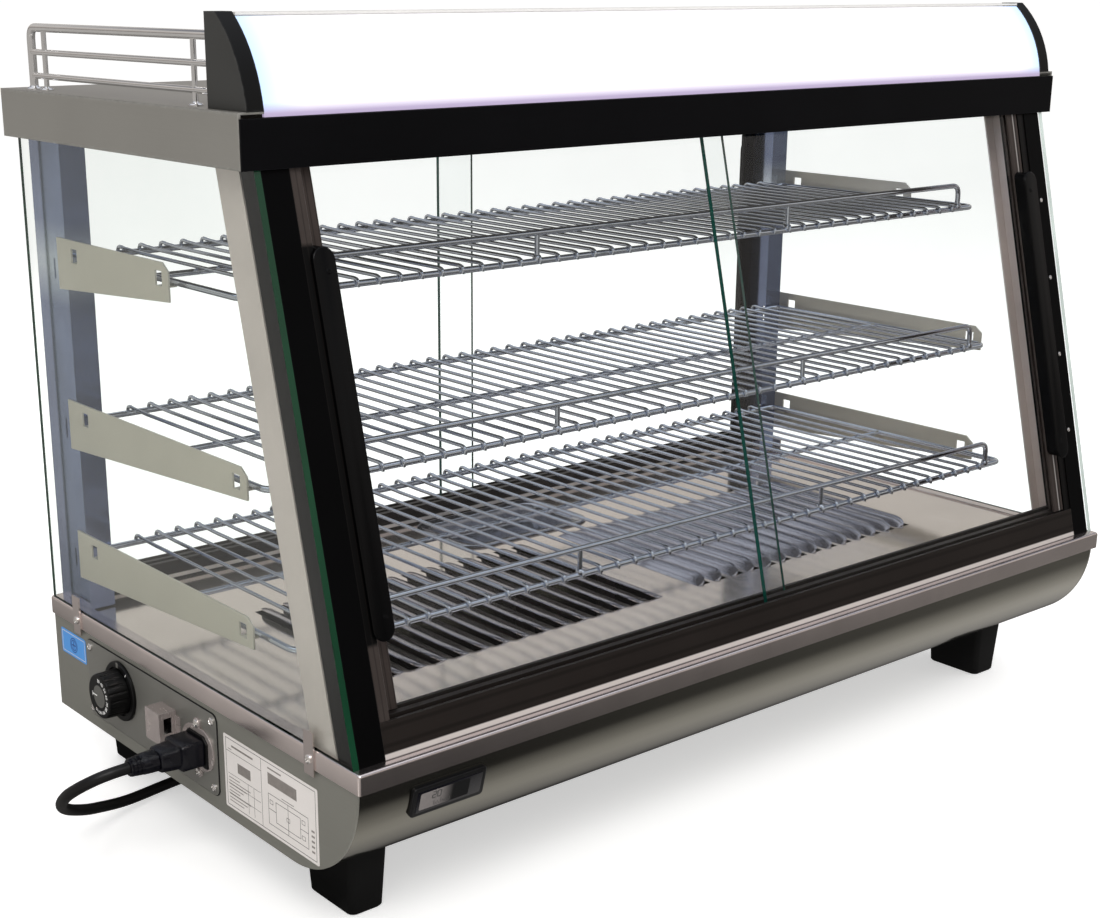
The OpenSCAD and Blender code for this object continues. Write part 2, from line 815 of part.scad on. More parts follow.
module rear_rail(z0, z1, groove0, groove1) {
    end = post_leg_x - sheet - 0.1;
    difference() {
        block([-end, rear_track_y0, z0], [end, rear_track_y1, z1]);
        for (y = [rear_inner_y, rear_outer_y])
            block([-end + 1, y - 1.2, groove0], [end - 1, y + glass_t + 1.2, groove1]);
    }
}

module rear_tracks() {
    color([0.08, 0.07, 0.07]) {
        rear_rail(ledge_z, ledge_z + 16, ledge_z + 3.5, ledge_z + 20);
        rear_rail(rear_rail_z, canopy_z + 24, rear_rail_z - 4, canopy_z + 22);
    }
}

rear_end_x = 411;

module rear_door_left() {
    color([0.80, 0.88, 0.84, 0.35])
        block([-rear_end_x, rear_inner_y, pane_low_z], [door_lap / 2, rear_inner_y + glass_t, pane_high_z]);
}

module rear_door_right() {
    color([0.80, 0.88, 0.84, 0.35])
        block([-door_lap / 2, rear_outer_y, pane_low_z], [rear_end_x, rear_outer_y + glass_t, pane_high_z]);
}

// Edge channel of a rear pane with its pull strip behind
module rear_pull(side, y) {
    z0 = ledge_z + 17;
    z1 = rear_rail_z - 1;
    on_side(side) {
        difference() {
            block([-rear_end_x - 1, y - edge_wall, z0], [-rear_end_x + 13, y + glass_t + edge_wall, z1]);
            block([-rear_end_x, y, z0 - cut], [-rear_end_x + 13 + cut, y + glass_t, z1 + cut]);
        }
        block([-rear_end_x - 1, y + glass_t + edge_wall, handle_z],
              [-rear_end_x + 13, y + glass_t + edge_wall + 1.6, handle_z + handle_h]);
    }
}

module rear_handle_left() {
    color([0.03, 0.03, 0.03]) rear_pull(-1, rear_inner_y);
}

module rear_handle_right() {
    color([0.03, 0.03, 0.03]) rear_pull(1, rear_outer_y);
}

// ---- shelves ----

// Cantilever bracket: a tapering plate with two tabs bent in under the shelf's side bar
module bracket(top, front, rear_h, front_h) {
    rear = 187;
    rest = top - shelf_drop - bar_d / 2;
    difference() {
        along_x(-bracket_out_x, -post_leg_x) polygon([
            [front, top - front_h], [rear, top - rear_h], [rear, top], [front + 8, top], [front, top - 6]
        ]);
        for (y = [front + 14, 158])
            block([-bracket_out_x - cut, y - 5, rest], [-post_leg_x + cut, y + 5, rest + 11]);
    }
    for (y = [front + 14, 158])
        block([-bracket_out_x, y - 5, rest - 1.5], [-ring_x + 2, y + 5, rest]);
}

module shelf_brackets() {
    color([0.70, 0.68, 0.64]) for (side = [-1, 1]) on_side(side) {
        bracket(bracket_top_z, 9, 41, 28);
        bracket(bracket_mid_z, -88, 41, 23);
        bracket(bracket_low_z, -88, 41, 23);
    }
}

// Wire shelf: ring of bars, one bar across the middle, wires on top and a front guard
module shelf(top, front) {
    z = top - shelf_drop;
    wire_z = z + bar_d / 2 + wire_d / 2 - 0.6;
    guard_z = z + guard_rise;
    half = (wire_count - 1) * wire_pitch / 2;
    for (y = [front, shelf_back]) rod_x(-ring_x, ring_x, y, z, bar_d, wire_fn);
    rod_x(-ring_x, ring_x, (front + shelf_back) / 2, z, bar_d, wire_fn);
    for (x = [-ring_x, ring_x]) rod_y(front - bar_d / 2, shelf_back + bar_d / 2, x, z, bar_d, wire_fn);
    for (i = [0 : wire_count - 1])
        rod_y(front - 1, shelf_back + 2, -half + i * wire_pitch, wire_z, wire_d, wire_fn);
    rod_x(-guard_x, guard_x, front, guard_z, bar_d, wire_fn);
    for (x = [-guard_x + 2.5, -guard_post_x, guard_post_x, guard_x - 2.5])
        rod_z(z, guard_z, x, front, bar_d - 0.6, wire_fn);
}

module shelf_top() {
    color([0.80, 0.81, 0.84]) shelf(bracket_top_z, shelf_front_top);
}

module shelf_middle() {
    color([0.80, 0.81, 0.84]) shelf(bracket_mid_z, shelf_front_mid);
}

module shelf_bottom() {
    color([0.80, 0.81, 0.84]) shelf(bracket_low_z, shelf_front_low);
}

// ---- canopy ----

module canopy_tray() {
    lip = 7;
    color([0.55, 0.54, 0.52]) {
        difference() {
            block([-canopy_x, canopy_front + sheet, canopy_z], [canopy_x, canopy_back, canopy_top]);
            block([-canopy_x + sheet, canopy_front, canopy_z - cut],
                  [canopy_x - sheet, canopy_back - sheet, tray_under]);
            block([-cap_in_x, canopy_front, tray_under - cut],
                  [cap_in_x, canopy_front + 5, canopy_top + cut]);
        }
        for (side = [-1, 1]) on_side(side)
            block([-canopy_x, canopy_front + sheet, canopy_z],
                  [-canopy_x + lip, canopy_back, canopy_z + 1.2]);
    }
}

// Black front panel of the canopy
module canopy_fascia() {
    color([0.03, 0.03, 0.03])
        block([-canopy_x, canopy_front, canopy_z], [canopy_x, canopy_front + sheet, canopy_top - 4]);
}

// End view of the light box: upright back, flat top, curved front
module light_outline(grow, floor_z) {
    r = lamp_arc_r + grow;
    intersection() {
        translate([canopy_front - 5, floor_z])
            square([lamp_back + grow - canopy_front + 5, box_top + grow - floor_z]);
        translate([lamp_arc_y, lamp_arc_z]) circle(r, $fn = 192);
    }
}

diffuser_t = 2.5;

module light_diffuser() {
    color([0.97, 0.97, 0.97]) along_x(-cap_in_x + 0.2, cap_in_x - 0.2) difference() {
        light_outline(-0.6, canopy_top - 3.6);
        translate([diffuser_t, 0]) light_outline(-0.6, canopy_top - 8);
        translate([lamp_back - 10, canopy_top - 10]) square([20, 100]);
        translate([canopy_front, box_top - 3.2]) square([80, 10]);
    }
}

// Folded white cover that closes the top and back of the light box
module light_box_cover() {
    color([0.85, 0.85, 0.85]) {
        block([-cap_in_x + 0.2, lamp_back - 1.5, canopy_top],
              [cap_in_x - 0.2, lamp_back - 0.3, box_top - 0.6]);
        block([-cap_in_x + 0.2, -97, box_top - 2.4], [cap_in_x - 0.2, lamp_back - 0.3, box_top - 0.6]);
    }
}

module led_tube() {
    color([0.98, 0.98, 0.98]) {
        rod_x(-390, 390, -100, 600, 15);
        for (x = [-388, 360]) block([x, -110, canopy_top], [x + 28, -90, 596]);
    }
}

module end_cap() {
    difference() {
        along_x(-cap_out_x, -cap_in_x) light_outline(0, canopy_top);
        along_x(-cap_out_x + 3, -cap_in_x + cut) light_outline(-3, canopy_top + 3);
    }
}

module canopy_end_caps() {
    color([0.12, 0.12, 0.12]) for (side = [-1, 1]) on_side(side) end_cap();
}

rail_x = canopy_x - 12;
rail_top_d = 6.4;
rail_mid_d = 4.6;
rail_back = 193;
rail_second = 171;
rail_front = -54;

// Guard rails along the two sides of the canopy's top
module gallery_rails() {
    z = canopy_top + 46;
    color([0.80, 0.80, 0.80]) for (x = [-rail_x, rail_x]) {
        rod_y(lamp_back + 0.3, rail_back + rail_top_d / 2, x, z, rail_top_d, wire_fn);
        for (drop = [18, 35.5])
            rod_y(lamp_back + 0.3, rail_back, x, z - drop, rail_mid_d, wire_fn);
        rod_z(canopy_top, z, x, rail_back, rail_top_d - 0.8, wire_fn);
        for (y = [rail_second, rail_front]) rod_z(canopy_top, z, x, y, rail_mid_d - 0.6, wire_fn);
    }
}

module rear_post_left() { rear_post(-1); }
module rear_post_right() { rear_post(1); }
module front_post_left() { front_post(-1); }
module front_post_right() { front_post(1); }
module side_glass_left() { side_glass(-1); }
module side_glass_right() { side_glass(1); }
module front_stile_left() { front_stile(-1); }
module front_stile_right() { front_stile(1); }

base_shell();
base_end_left();
base_end_right();
trim_frame();
heat_deck();
water_tray();
feet();
heating_elements();
thermostat_body();
thermostat_bulb();
terminal_block();
lamp_driver();
control_plate();
dial_flange();
thermostat_knob();
switch_guard();
power_switch();
switch_body();
power_inlet();
inlet_retainer();
panel_screws();
cord_connector();
power_cord();
cord_coil();
mains_plug();
thermometer();
side_labels();
rear_post_left();
rear_post_right();
front_post_left();
front_post_right();
side_glass_left();
side_glass_right();
glass_clips();
front_stile_left();
front_stile_right();
front_jambs();
front_tracks();
front_door_left();
front_door_right();
front_edge_left();
front_edge_right();
front_handle_left();
front_handle_right();
rear_tracks();
rear_door_left();
rear_door_right();
rear_handle_left();
rear_handle_right();
shelf_brackets();
shelf_top();
shelf_middle();
shelf_bottom();
canopy_tray();
canopy_fascia();
light_diffuser();
light_box_cover();
led_tube();
canopy_end_caps();
gallery_rails();
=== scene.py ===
import bpy
import bmesh
import math
from mathutils import Matrix, Vector


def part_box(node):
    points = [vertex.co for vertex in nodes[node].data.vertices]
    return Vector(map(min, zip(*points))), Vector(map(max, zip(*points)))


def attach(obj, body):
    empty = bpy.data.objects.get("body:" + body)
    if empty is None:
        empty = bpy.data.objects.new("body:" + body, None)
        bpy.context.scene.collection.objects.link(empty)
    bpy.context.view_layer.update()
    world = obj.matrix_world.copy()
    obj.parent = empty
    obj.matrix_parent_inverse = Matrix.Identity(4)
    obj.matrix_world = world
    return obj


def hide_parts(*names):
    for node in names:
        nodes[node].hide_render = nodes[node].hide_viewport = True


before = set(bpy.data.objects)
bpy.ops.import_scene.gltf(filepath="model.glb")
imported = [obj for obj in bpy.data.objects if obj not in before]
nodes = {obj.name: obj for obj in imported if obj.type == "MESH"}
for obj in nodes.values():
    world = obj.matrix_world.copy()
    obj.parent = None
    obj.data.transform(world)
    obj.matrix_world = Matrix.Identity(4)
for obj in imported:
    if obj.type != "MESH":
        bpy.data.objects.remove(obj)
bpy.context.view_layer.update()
scene = bpy.context.scene
MM = 0.001
TAU = 2 * math.pi


def front_y(z):
    """Y of the leaning front plane at a height, in mm."""
    return -223 + (z - 153) * 0.249


# ---------------------------------------------------------------- camera
cam = bpy.data.cameras.new("view")
cam.sensor_width = 36
cam.lens = 57.223
cam.shift_x = 0.0505
cam.shift_y = 0.0564
cam.clip_end = 900
cam_obj = bpy.data.objects.new("view", cam)
scene.collection.objects.link(cam_obj)
cam_obj.location = (-1.02017, -1.10512, 0.65238)
cam_obj.rotation_euler = Vector((0.6012, 0.7432, -0.2935)).to_track_quat("-Z", "Y").to_euler()
scene.camera = cam_obj
scene.view_settings.view_transform = "Standard"


# ---------------------------------------------------------------- mesh tools
class Shell:
    """Collects faces in millimetres, then makes one object from them in metres."""

    def __init__(self):
        self.v, self.f, self.m, self.mats = [], [], [], []

    def add(self, part, mat, place=None):
        verts, faces = part
        k = len(self.v)
        if mat not in self.mats:
            self.mats.append(mat)
        s = self.mats.index(mat)
        for p in verts:
            self.v.append(tuple(place(*p)) if place else tuple(p))
        for f in faces:
            self.f.append([k + i for i in f])
            self.m.append(s)
        return self

    def make(self, name, body="case", replaces=(), angle=32, fix=True, slot=None):
        me = bpy.data.meshes.new(name)
        me.from_pydata([(x * MM, y * MM, z * MM) for x, y, z in self.v], [], self.f)
        for m in self.mats:
            me.materials.append(m)
        me.polygons.foreach_set("material_index", self.m)
        if fix:
            bm = bmesh.new()
            bm.from_mesh(me)
            bmesh.ops.recalc_face_normals(bm, faces=bm.faces)
            bm.to_mesh(me)
            bm.free()
        me.polygons.foreach_set("use_smooth", [True] * len(me.polygons))
        me.set_sharp_from_angle(angle=math.radians(angle))
        me.update()
        ob = bpy.data.objects.new(name, me)
        scene.collection.objects.link(ob)
        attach(ob, body)
        if replaces:
            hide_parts(*replaces)
        return ob


def tube(path, r, n=12, closed=False):
    """Round rod along a path. r is a number or one radius per point."""
    pts = [Vector(p) for p in path]
    count = len(pts)
    tang = []
    for i in range(count):
        a = pts[i - 1] if closed or i > 0 else pts[i]
        b = pts[(i + 1) % count] if closed or i < count - 1 else pts[i]
        tang.append((b - a).normalized())
    ref = Vector((0, 0, 1)) if abs(tang[0].z) < 0.9 else Vector((1, 0, 0))
    u = tang[0].cross(ref).normalized()
    verts, faces = [], []
    for i in range(count):
        if i:
            axis = tang[i - 1].cross(tang[i])
            if axis.length > 1e-9:
                u = Matrix.Rotation(tang[i - 1].angle(tang[i]), 3, axis.normalized()) @ u
        u = (u - tang[i] * u.dot(tang[i])).normalized()
        w = tang[i].cross(u)
        rad = r[i] if isinstance(r, (list, tuple)) else r
        for k in range(n):
            a = TAU * k / n
            verts.append(tuple(pts[i] + (u * math.cos(a) + w * math.sin(a)) * rad))
    for i in range(count if closed else count - 1):
        j = (i + 1) % count
        for k in range(n):
            k2 = (k + 1) % n
            faces.append([i * n + k, i * n + k2, j * n + k2, j * n + k])
    if not closed:
        faces.append(list(range(n))[::-1])
        faces.append([(count - 1) * n + k for k in range(n)])
    return verts, faces


def rounded(points, r, steps=6, closed=False):
    """A polyline with its corners rounded off over the distance r."""
    pts = [Vector(p) for p in points]
    out = []
    count = len(pts)
    for i, p in enumerate(pts):
        if not closed and i in (0, count - 1):
            out.append(tuple(p))
            continue
        a, b = pts[i - 1], pts[(i + 1) % count]
        da, db = (a - p), (b - p)
        d = min(r, da.length * 0.49, db.length * 0.49)
        s, e = p + da.normalized() * d, p + db.normalized() * d
        for k in range(steps + 1):
            t = k / steps
            out.append(tuple(s * (1 - t) ** 2 + p * 2 * t * (1 - t) + e * t * t))
    return out


def loft(rings, cap0=True, cap1=True):
    """Skin over rings of the same number of points."""
    n = len(rings[0])
    verts = [tuple(p) for ring in rings for p in ring]
    faces = []
    for i in range(len(rings) - 1):
        for k in range(n):
            k2 = (k + 1) % n
            faces.append([i * n + k, i * n + k2, (i + 1) * n + k2, (i + 1) * n + k])
    if cap0:
        faces.append(list(range(n))[::-1])
    if cap1:
        faces.append([(len(rings) - 1) * n + k for k in range(n)])
    return verts, faces


def rrect(w, h, r, n=6):
    """Rounded rectangle about the origin, counterclockwise."""
    r = min(r, w / 2 - 0.01, h / 2 - 0.01)
    out = []
    for cx, cy, a0 in ((1, 1, 0), (-1, 1, 90), (-1, -1, 180), (1, -1, 270)):
        for k in range(n + 1):
            a = math.radians(a0 + 90 * k / n)
            out.append((cx * (w / 2 - r) + r * math.cos(a), cy * (h / 2 - r) + r * math.sin(a)))
    return out


def inset(outline, d):
    n = len(outline)
    out = []
    for i in range(n):
        a, p, b = (Vector(outline[(i + j) % n]) for j in (-1, 0, 1))
        e0, e1 = (p - a), (b - p)
        e0 = e0.normalized() if e0.length > 1e-9 else e1.normalized()
        e1 = e1.normalized() if e1.length > 1e-9 else e0
        nrm = Vector((-e0.y - e1.y, e0.x + e1.x)).normalized()
        out.append((p.x + nrm.x * d, p.y + nrm.y * d))
    return out


def plate(outline, t0, t1, edge=0.5, steps=3, both=True):
    """A slab from t0 to t1 with rounded rims. Points come out as (u, v, t)."""
    rings = []
    side = 1 if t1 > t0 else -1
    prof = [(edge * (1 - math.sin(math.pi / 2 * k / steps)), edge * (1 - math.cos(math.pi / 2 * k / steps)))
            for k in range(steps + 1)]
    low = [(a, t0 + side * b) for a, b in prof] if both else [(0, t0)]
    high = [(a, t1 - side * b) for a, b in reversed(prof)]
    for d, t in low + high:
        rings.append([(u, v, t) for u, v in inset(outline, d)])
    return loft(rings)


def lathe(profile, n=48, wobble=None):
    """Turned about the local Z axis. profile is (radius, height) pairs."""
    rings = []
    for r, h in profile:
        ring = []
        for k in range(n):
            a = TAU * k / n
            rr = r * (wobble(a, h) if wobble else 1)
            ring.append((rr * math.cos(a), rr * math.sin(a), h))
        rings.append(ring)
    return loft(rings, profile[0][0] > 0.001, profile[-1][0] > 0.001)


def letters(word, size, depth):
    cu = bpy.data.curves.new("glyph", "FONT")
    cu.body, cu.size, cu.extrude = word, size, depth
    cu.align_x, cu.align_y = "CENTER", "CENTER"
    cu.resolution_u = 3
    ob = bpy.data.objects.new("glyph", cu)
    scene.collection.objects.link(ob)
    dg = bpy.context.evaluated_depsgraph_get()
    me = bpy.data.meshes.new_from_object(ob.evaluated_get(dg))
    part = ([tuple(v.co) for v in me.vertices], [list(p.vertices) for p in me.polygons])
    bpy.data.objects.remove(ob)
    bpy.data.meshes.remove(me)
    return part


def smooth_curve(points, steps=8):
    """Catmull-Rom through the points."""
    p = [Vector(q) for q in points]
    p = [p[0] * 2 - p[1]] + p + [p[-1] * 2 - p[-2]]
    out = []
    for i in range(1, len(p) - 2):
        for k in range(steps):
            t = k / steps
            a, b, c, d = p[i - 1], p[i], p[i + 1], p[i + 2]
            out.append(0.5 * ((2 * b) + (c - a) * t + (2 * a - 5 * b + 4 * c - d) * t * t
                              + (3 * b - a - 3 * c + d) * t ** 3))
    out.append(p[-2])
    return [tuple(q) for q in out]


# ---------------------------------------------------------------- materials
def link(nt, a, b):
    nt.links.new(a, b)


def math_node(nt, op, a, b=None):
    n = nt.nodes.new("ShaderNodeMath")
    n.operation = op
    for i, v in enumerate((a, b)):
        if v is None:
            continue
        if isinstance(v, (int, float)):
            n.inputs[i].default_value = v
        else:
            link(nt, v, n.inputs[i])
    return n.outputs[0]


def remap(nt, v, a, b, c, d):
    n = nt.nodes.new("ShaderNodeMapRange")
    link(nt, v, n.inputs[0])
    for i, x in enumerate((a, b, c, d)):
        n.inputs[i + 1].default_value = x
    return n.outputs[0]


def blend_colour(nt, fac, a, b, mode="MIX"):
    n = nt.nodes.new("ShaderNodeMix")
    n.data_type = "RGBA"
    n.blend_type = mode
    n.clamp_factor = True
    if isinstance(fac, (int, float)):
        n.inputs[0].default_value = fac
    else:
        link(nt, fac, n.inputs[0])
    for i, v in ((6, a), (7, b)):
        if isinstance(v, (tuple, list)):
            n.inputs[i].default_value = (*v[:3], 1)
        else:
            link(nt, v, n.inputs[i])
    return n.outputs[2]


def noise(nt, coord, scale, detail=3, rough=0.5):
    mp = nt.nodes.new("ShaderNodeMapping")
    link(nt, coord, mp.inputs[0])
    mp.inputs["Scale"].default_value = scale
    n = nt.nodes.new("ShaderNodeTexNoise")
    n.inputs["Scale"].default_value = 1
    n.inputs["Detail"].default_value = detail
    n.inputs["Roughness"].default_value = rough
    link(nt, mp.outputs[0], n.inputs["Vector"])
    return n.outputs["Fac"]


def surface(name, base, rough=0.4, metallic=0.0, var=0.10, mottle=9.0, grain=(700, 700, 700), streak=0.06,
            rvar=0.06, bump=0.12, depth=0.0001, bevel=0.0, edge_wear_and_highlight=None, edge_wear_and_highlight_amount=0.5, lines=None, coat=0.0,
            emission=None, power=0.0, spec=None, fade=None, band=None, facing=None):
    m = bpy.data.materials.new(name)
    m.use_nodes = True
    nt = m.node_tree
    p = nt.nodes["Principled BSDF"]
    tc = nt.nodes.new("ShaderNodeTexCoord")
    co = tc.outputs["Object"]
    fine = noise(nt, co, grain, 3, 0.6)
    broad = noise(nt, co, (mottle, mottle, mottle), 4, 0.55)
    dark = tuple(c * (1 - var) for c in base)
    light = tuple(min(1, c * (1 + var)) for c in base)
    col = blend_colour(nt, remap(nt, broad, 0.3, 0.7, 0, 1), dark, light)
    shade = remap(nt, fine, 0.25, 0.75, 1 - streak, 1 + streak)
    hsv = nt.nodes.new("ShaderNodeHueSaturation")
    link(nt, col, hsv.inputs["Color"])
    link(nt, shade, hsv.inputs["Value"])
    col = hsv.outputs[0]
    if fade:
        axis, a, b, tint = fade
        sep = nt.nodes.new("ShaderNodeSeparateXYZ")
        link(nt, co, sep.inputs[0])
        col = blend_colour(nt, remap(nt, sep.outputs[axis], a, b, 0, 1), col, tint)
    if band:
        axis, mid, half, soft, tint = band
        sep = nt.nodes.new("ShaderNodeSeparateXYZ")
        link(nt, co, sep.inputs[0])
        away = math_node(nt, "ABSOLUTE", math_node(nt, "SUBTRACT", sep.outputs[axis], mid))
        col = blend_colour(nt, remap(nt, away, half, half + soft, 1, 0), col, tint)
    if facing:
        axis, a, b, tint = facing
        geo = nt.nodes.new("ShaderNodeNewGeometry")
        sep = nt.nodes.new("ShaderNodeSeparateXYZ")
        link(nt, geo.outputs["Normal"], sep.inputs[0])
        col = blend_colour(nt, remap(nt, sep.outputs[axis], a, b, 1, 0), col, tint)
    normal = None
    if bevel:
        bv = nt.nodes.new("ShaderNodeBevel")
        bv.samples = 3
        bv.inputs["Radius"].default_value = bevel
        normal = bv.outputs[0]
        # Edges are lightened towards the given colour in noisy patches: partly edge wear, partly a painted highlight
        # along the edges.
        if edge_wear_and_highlight:
            geo = nt.nodes.new("ShaderNodeNewGeometry")
            dot = nt.nodes.new("ShaderNodeVectorMath")
            dot.operation = "DOT_PRODUCT"
            link(nt, normal, dot.inputs[0])
            link(nt, geo.outputs["Normal"], dot.inputs[1])
            mask = remap(nt, dot.outputs["Value"], 0.995, 0.85, 0, edge_wear_and_highlight_amount)
            spots = remap(nt, noise(nt, co, (160, 160, 160), 5, 0.7), 0.35, 0.6, 0.2, 1)
            col = blend_colour(nt, math_node(nt, "MULTIPLY", mask, spots), col, edge_wear_and_highlight)
    height = fine
    if lines:
        axis, pitch, at, strength = lines
        sep = nt.nodes.new("ShaderNodeSeparateXYZ")
        link(nt, co, sep.inputs[0])
        v = math_node(nt, "ABSOLUTE", sep.outputs[axis])
        w = math_node(nt, "SINE", math_node(nt, "MULTIPLY", v, TAU / pitch))
        groove = remap(nt, w, -1.0, -0.55, 1, 0)
        # The grooves are painted darker as well as bumped: painted shade in them.
        col = blend_colour(nt, math_node(nt, "MULTIPLY", groove, 0.45), col, tuple(c * 0.25 for c in base))
        height = math_node(nt, "SUBTRACT", fine, math_node(nt, "MULTIPLY", groove, strength))
        for pos, half, tint in at:
            near = math_node(nt, "ABSOLUTE", math_node(nt, "SUBTRACT", v, pos))
            col = blend_colour(nt, remap(nt, near, half * 0.6, half, 1, 0), col, tint)
    bp = nt.nodes.new("ShaderNodeBump")
    bp.inputs["Strength"].default_value = bump
    bp.inputs["Distance"].default_value = depth
    link(nt, height, bp.inputs["Height"])
    if normal:
        link(nt, normal, bp.inputs["Normal"])
    link(nt, bp.outputs[0], p.inputs["Normal"])
    link(nt, col, p.inputs["Base Color"])
    mixr = math_node(nt, "ADD", math_node(nt, "MULTIPLY", fine, 0.5), math_node(nt, "MULTIPLY", broad, 0.5))
    link(nt, remap(nt, mixr, 0.3, 0.7, max(0.02, rough - rvar), rough + rvar), p.inputs["Roughness"])
    p.inputs["Metallic"].default_value = metallic
    if coat:
        p.inputs["Coat Weight"].default_value = coat
        p.inputs["Coat Roughness"].default_value = 0.08
    if spec is not None:
        p.inputs["Specular IOR Level"].default_value = spec
    if emission:
        a, b, lo, hi, axis, x0, x1, ends = emission
        sep = nt.nodes.new("ShaderNodeSeparateXYZ")
        link(nt, co, sep.inputs[0])
        wide = blend_colour(nt, remap(nt, math_node(nt, "ABSOLUTE", sep.outputs[0]), x0, x1, 0, 1), hi, ends)
        e = blend_colour(nt, remap(nt, sep.outputs[axis], a, b, 0, 1), lo, wide)
        link(nt, e, p.inputs["Emission Color"])
        p.inputs["Emission Strength"].default_value = power
    return m


def glass(name, tint, edge, thin_axis):
    """Clear pane. Its rims take the edge colour given, the colour of the thickness; the far pane's paler rims are
    painted light.
    """
    m = bpy.data.materials.new(name)
    m.use_nodes = True
    nt = m.node_tree
    out = nt.nodes["Material Output"]
    p = nt.nodes["Principled BSDF"]
    tc = nt.nodes.new("ShaderNodeTexCoord")
    haze = noise(nt, tc.outputs["Object"], (14, 14, 14), 4, 0.6)
    col = blend_colour(nt, remap(nt, haze, 0.35, 0.65, 0, 1), tint, tuple(c * 0.985 for c in tint))
    link(nt, col, p.inputs["Base Color"])
    link(nt, remap(nt, haze, 0.4, 0.7, 0.0, 0.012), p.inputs["Roughness"])
    p.inputs["Transmission Weight"].default_value = 1
    p.inputs["IOR"].default_value = 1.28
    lp = nt.nodes.new("ShaderNodeLightPath")
    tr = nt.nodes.new("ShaderNodeBsdfTransparent")
    tr.inputs[0].default_value = (*(c * 0.95 for c in tint), 1)
    mix = nt.nodes.new("ShaderNodeMixShader")
    link(nt, lp.outputs["Is Shadow Ray"], mix.inputs[0])
    link(nt, p.outputs[0], mix.inputs[1])
    link(nt, tr.outputs[0], mix.inputs[2])
    rim = nt.nodes.new("ShaderNodeBsdfPrincipled")
    rim_col = blend_colour(nt, remap(nt, noise(nt, tc.outputs["Object"], (60, 60, 8), 3), 0.3, 0.7, 0, 1),
                           tuple(c * 0.7 for c in edge), edge)
    link(nt, rim_col, rim.inputs["Base Color"])
    rim.inputs["Roughness"].default_value = 0.12
    geo = nt.nodes.new("ShaderNodeNewGeometry")
    dot = nt.nodes.new("ShaderNodeVectorMath")
    dot.operation = "DOT_PRODUCT"
    link(nt, geo.outputs["True Normal"], dot.inputs[0])
    dot.inputs[1].default_value = thin_axis
    side = math_node(nt, "LESS_THAN", math_node(nt, "ABSOLUTE", dot.outputs["Value"]), 0.6)
    final = nt.nodes.new("ShaderNodeMixShader")
    link(nt, side, final.inputs[0])
    link(nt, mix.outputs[0], final.inputs[1])
    link(nt, rim.outputs[0], final.inputs[2])
    link(nt, final.outputs[0], out.inputs[0])
    return m


# Where a material below is given an edge colour, its edges are lightened towards it: partly wear, partly a painted
# highlight.
ALONG_X, ALONG_Z = (25, 1300, 1300), (1300, 1300, 25)
base_metal = surface("base_satin", (0.34, 0.33, 0.285), 0.13, 1.0, 0.04, 5, (12, 900, 900), 0.02, 0.01, 0.03)
end_metal = surface("end_satin", (0.240, 0.236, 0.208), 0.42, 0.45, 0.05, 5, (900, 12, 900), 0.02, 0.01, 0.05)
plate_metal = surface("plate_satin", (0.225, 0.220, 0.200), 0.34, 0.5, 0.05, 8, (900, 12, 900), 0.02, 0.02,
                      0.05, bevel=0.0006, edge_wear_and_highlight=(0.6, 0.58, 0.55))
trim_steel = surface("ledge_steel", (0.86, 0.77, 0.74), 0.24, 1.0, 0.05, 22, (12, 12, 1100), 0.02, 0.01, 0.04)
post_steel = surface("post_steel", (0.70, 0.62, 0.585), 0.32, 0.45, 0.06, 16, (1100, 1100, 12), 0.02, 0.01,
                     0.05)
# The steel's blue tint is a painted reflection; its blue-white edges and the band round z 0.44 m are painted
# highlights.
rear_steel = surface("rear_post_steel", (0.28, 0.33, 0.50), 0.14, 0.95, 0.30, 7, (1100, 1100, 12), 0.03, 0.01,
                     0.05, bevel=0.0006, edge_wear_and_highlight=(0.75, 0.84, 1.0), edge_wear_and_highlight_amount=0.7,
                     band=(2, 0.44, 0.004, 0.03, (0.80, 0.88, 1.0)))
bracket_steel = surface("bracket_steel", (0.60, 0.56, 0.48), 0.34, 0.5, 0.04, 16, (900, 900, 900), 0.02, 0.02,
                        0.05, bevel=0.0007, edge_wear_and_highlight=(0.98, 0.99, 1.0), edge_wear_and_highlight_amount=0.6)
deck_steel = surface("deck_steel", (0.86, 0.775, 0.72), 0.11, 0.93, 0.05, 9, (12, 1200, 1200), 0.02, 0.008,
                     0.03)
louvre_steel = surface("louvre_steel", (0.56, 0.54, 0.58), 0.14, 0.95, 0.05, 20, (900, 12, 900), 0.02, 0.02,
                       0.04)
tray_steel = surface("pan_steel", (0.52, 0.53, 0.58), 0.18, 0.95, 0.06, 20, (600, 600, 600), 0.03, 0.03, 0.05)
canopy_steel = surface("canopy_satin", (0.275, 0.266, 0.242), 0.36, 0.5, 0.05, 6, (900, 12, 900), 0.02, 0.02,
                       0.05, bevel=0.0030, edge_wear_and_highlight=(0.8, 0.79, 0.75), edge_wear_and_highlight_amount=0.5)
cover_paint = surface("cover_paint", (0.80, 0.79, 0.77), 0.36, 0.1, 0.04, 8, (500, 500, 500), 0.03, 0.05, 0.1,
                      bevel=0.0008, edge_wear_and_highlight=(0.95, 0.95, 0.95))
black_metal = surface("black_anodised", (0.0016, 0.0016, 0.0023), 0.42, 0.0, 0.2, 10, ALONG_X, 0.10, 0.04,
                      0.05, bevel=0.0008, edge_wear_and_highlight=(0.03, 0.03, 0.034), spec=0.12)
black_upright = surface("black_anodised_upright", (0.0010, 0.0010, 0.0012), 0.45, 0.0, 0.2, 10, ALONG_Z, 0.10,
                        0.04, 0.08, bevel=0.0006, edge_wear_and_highlight=(0.02, 0.02, 0.022), spec=0.06)
handle_black = surface("handle_black", (0.0010, 0.0010, 0.0012), 0.24, 0.0, 0.2, 20, ALONG_Z, 0.08, 0.03,
                       0.05, spec=0.16)
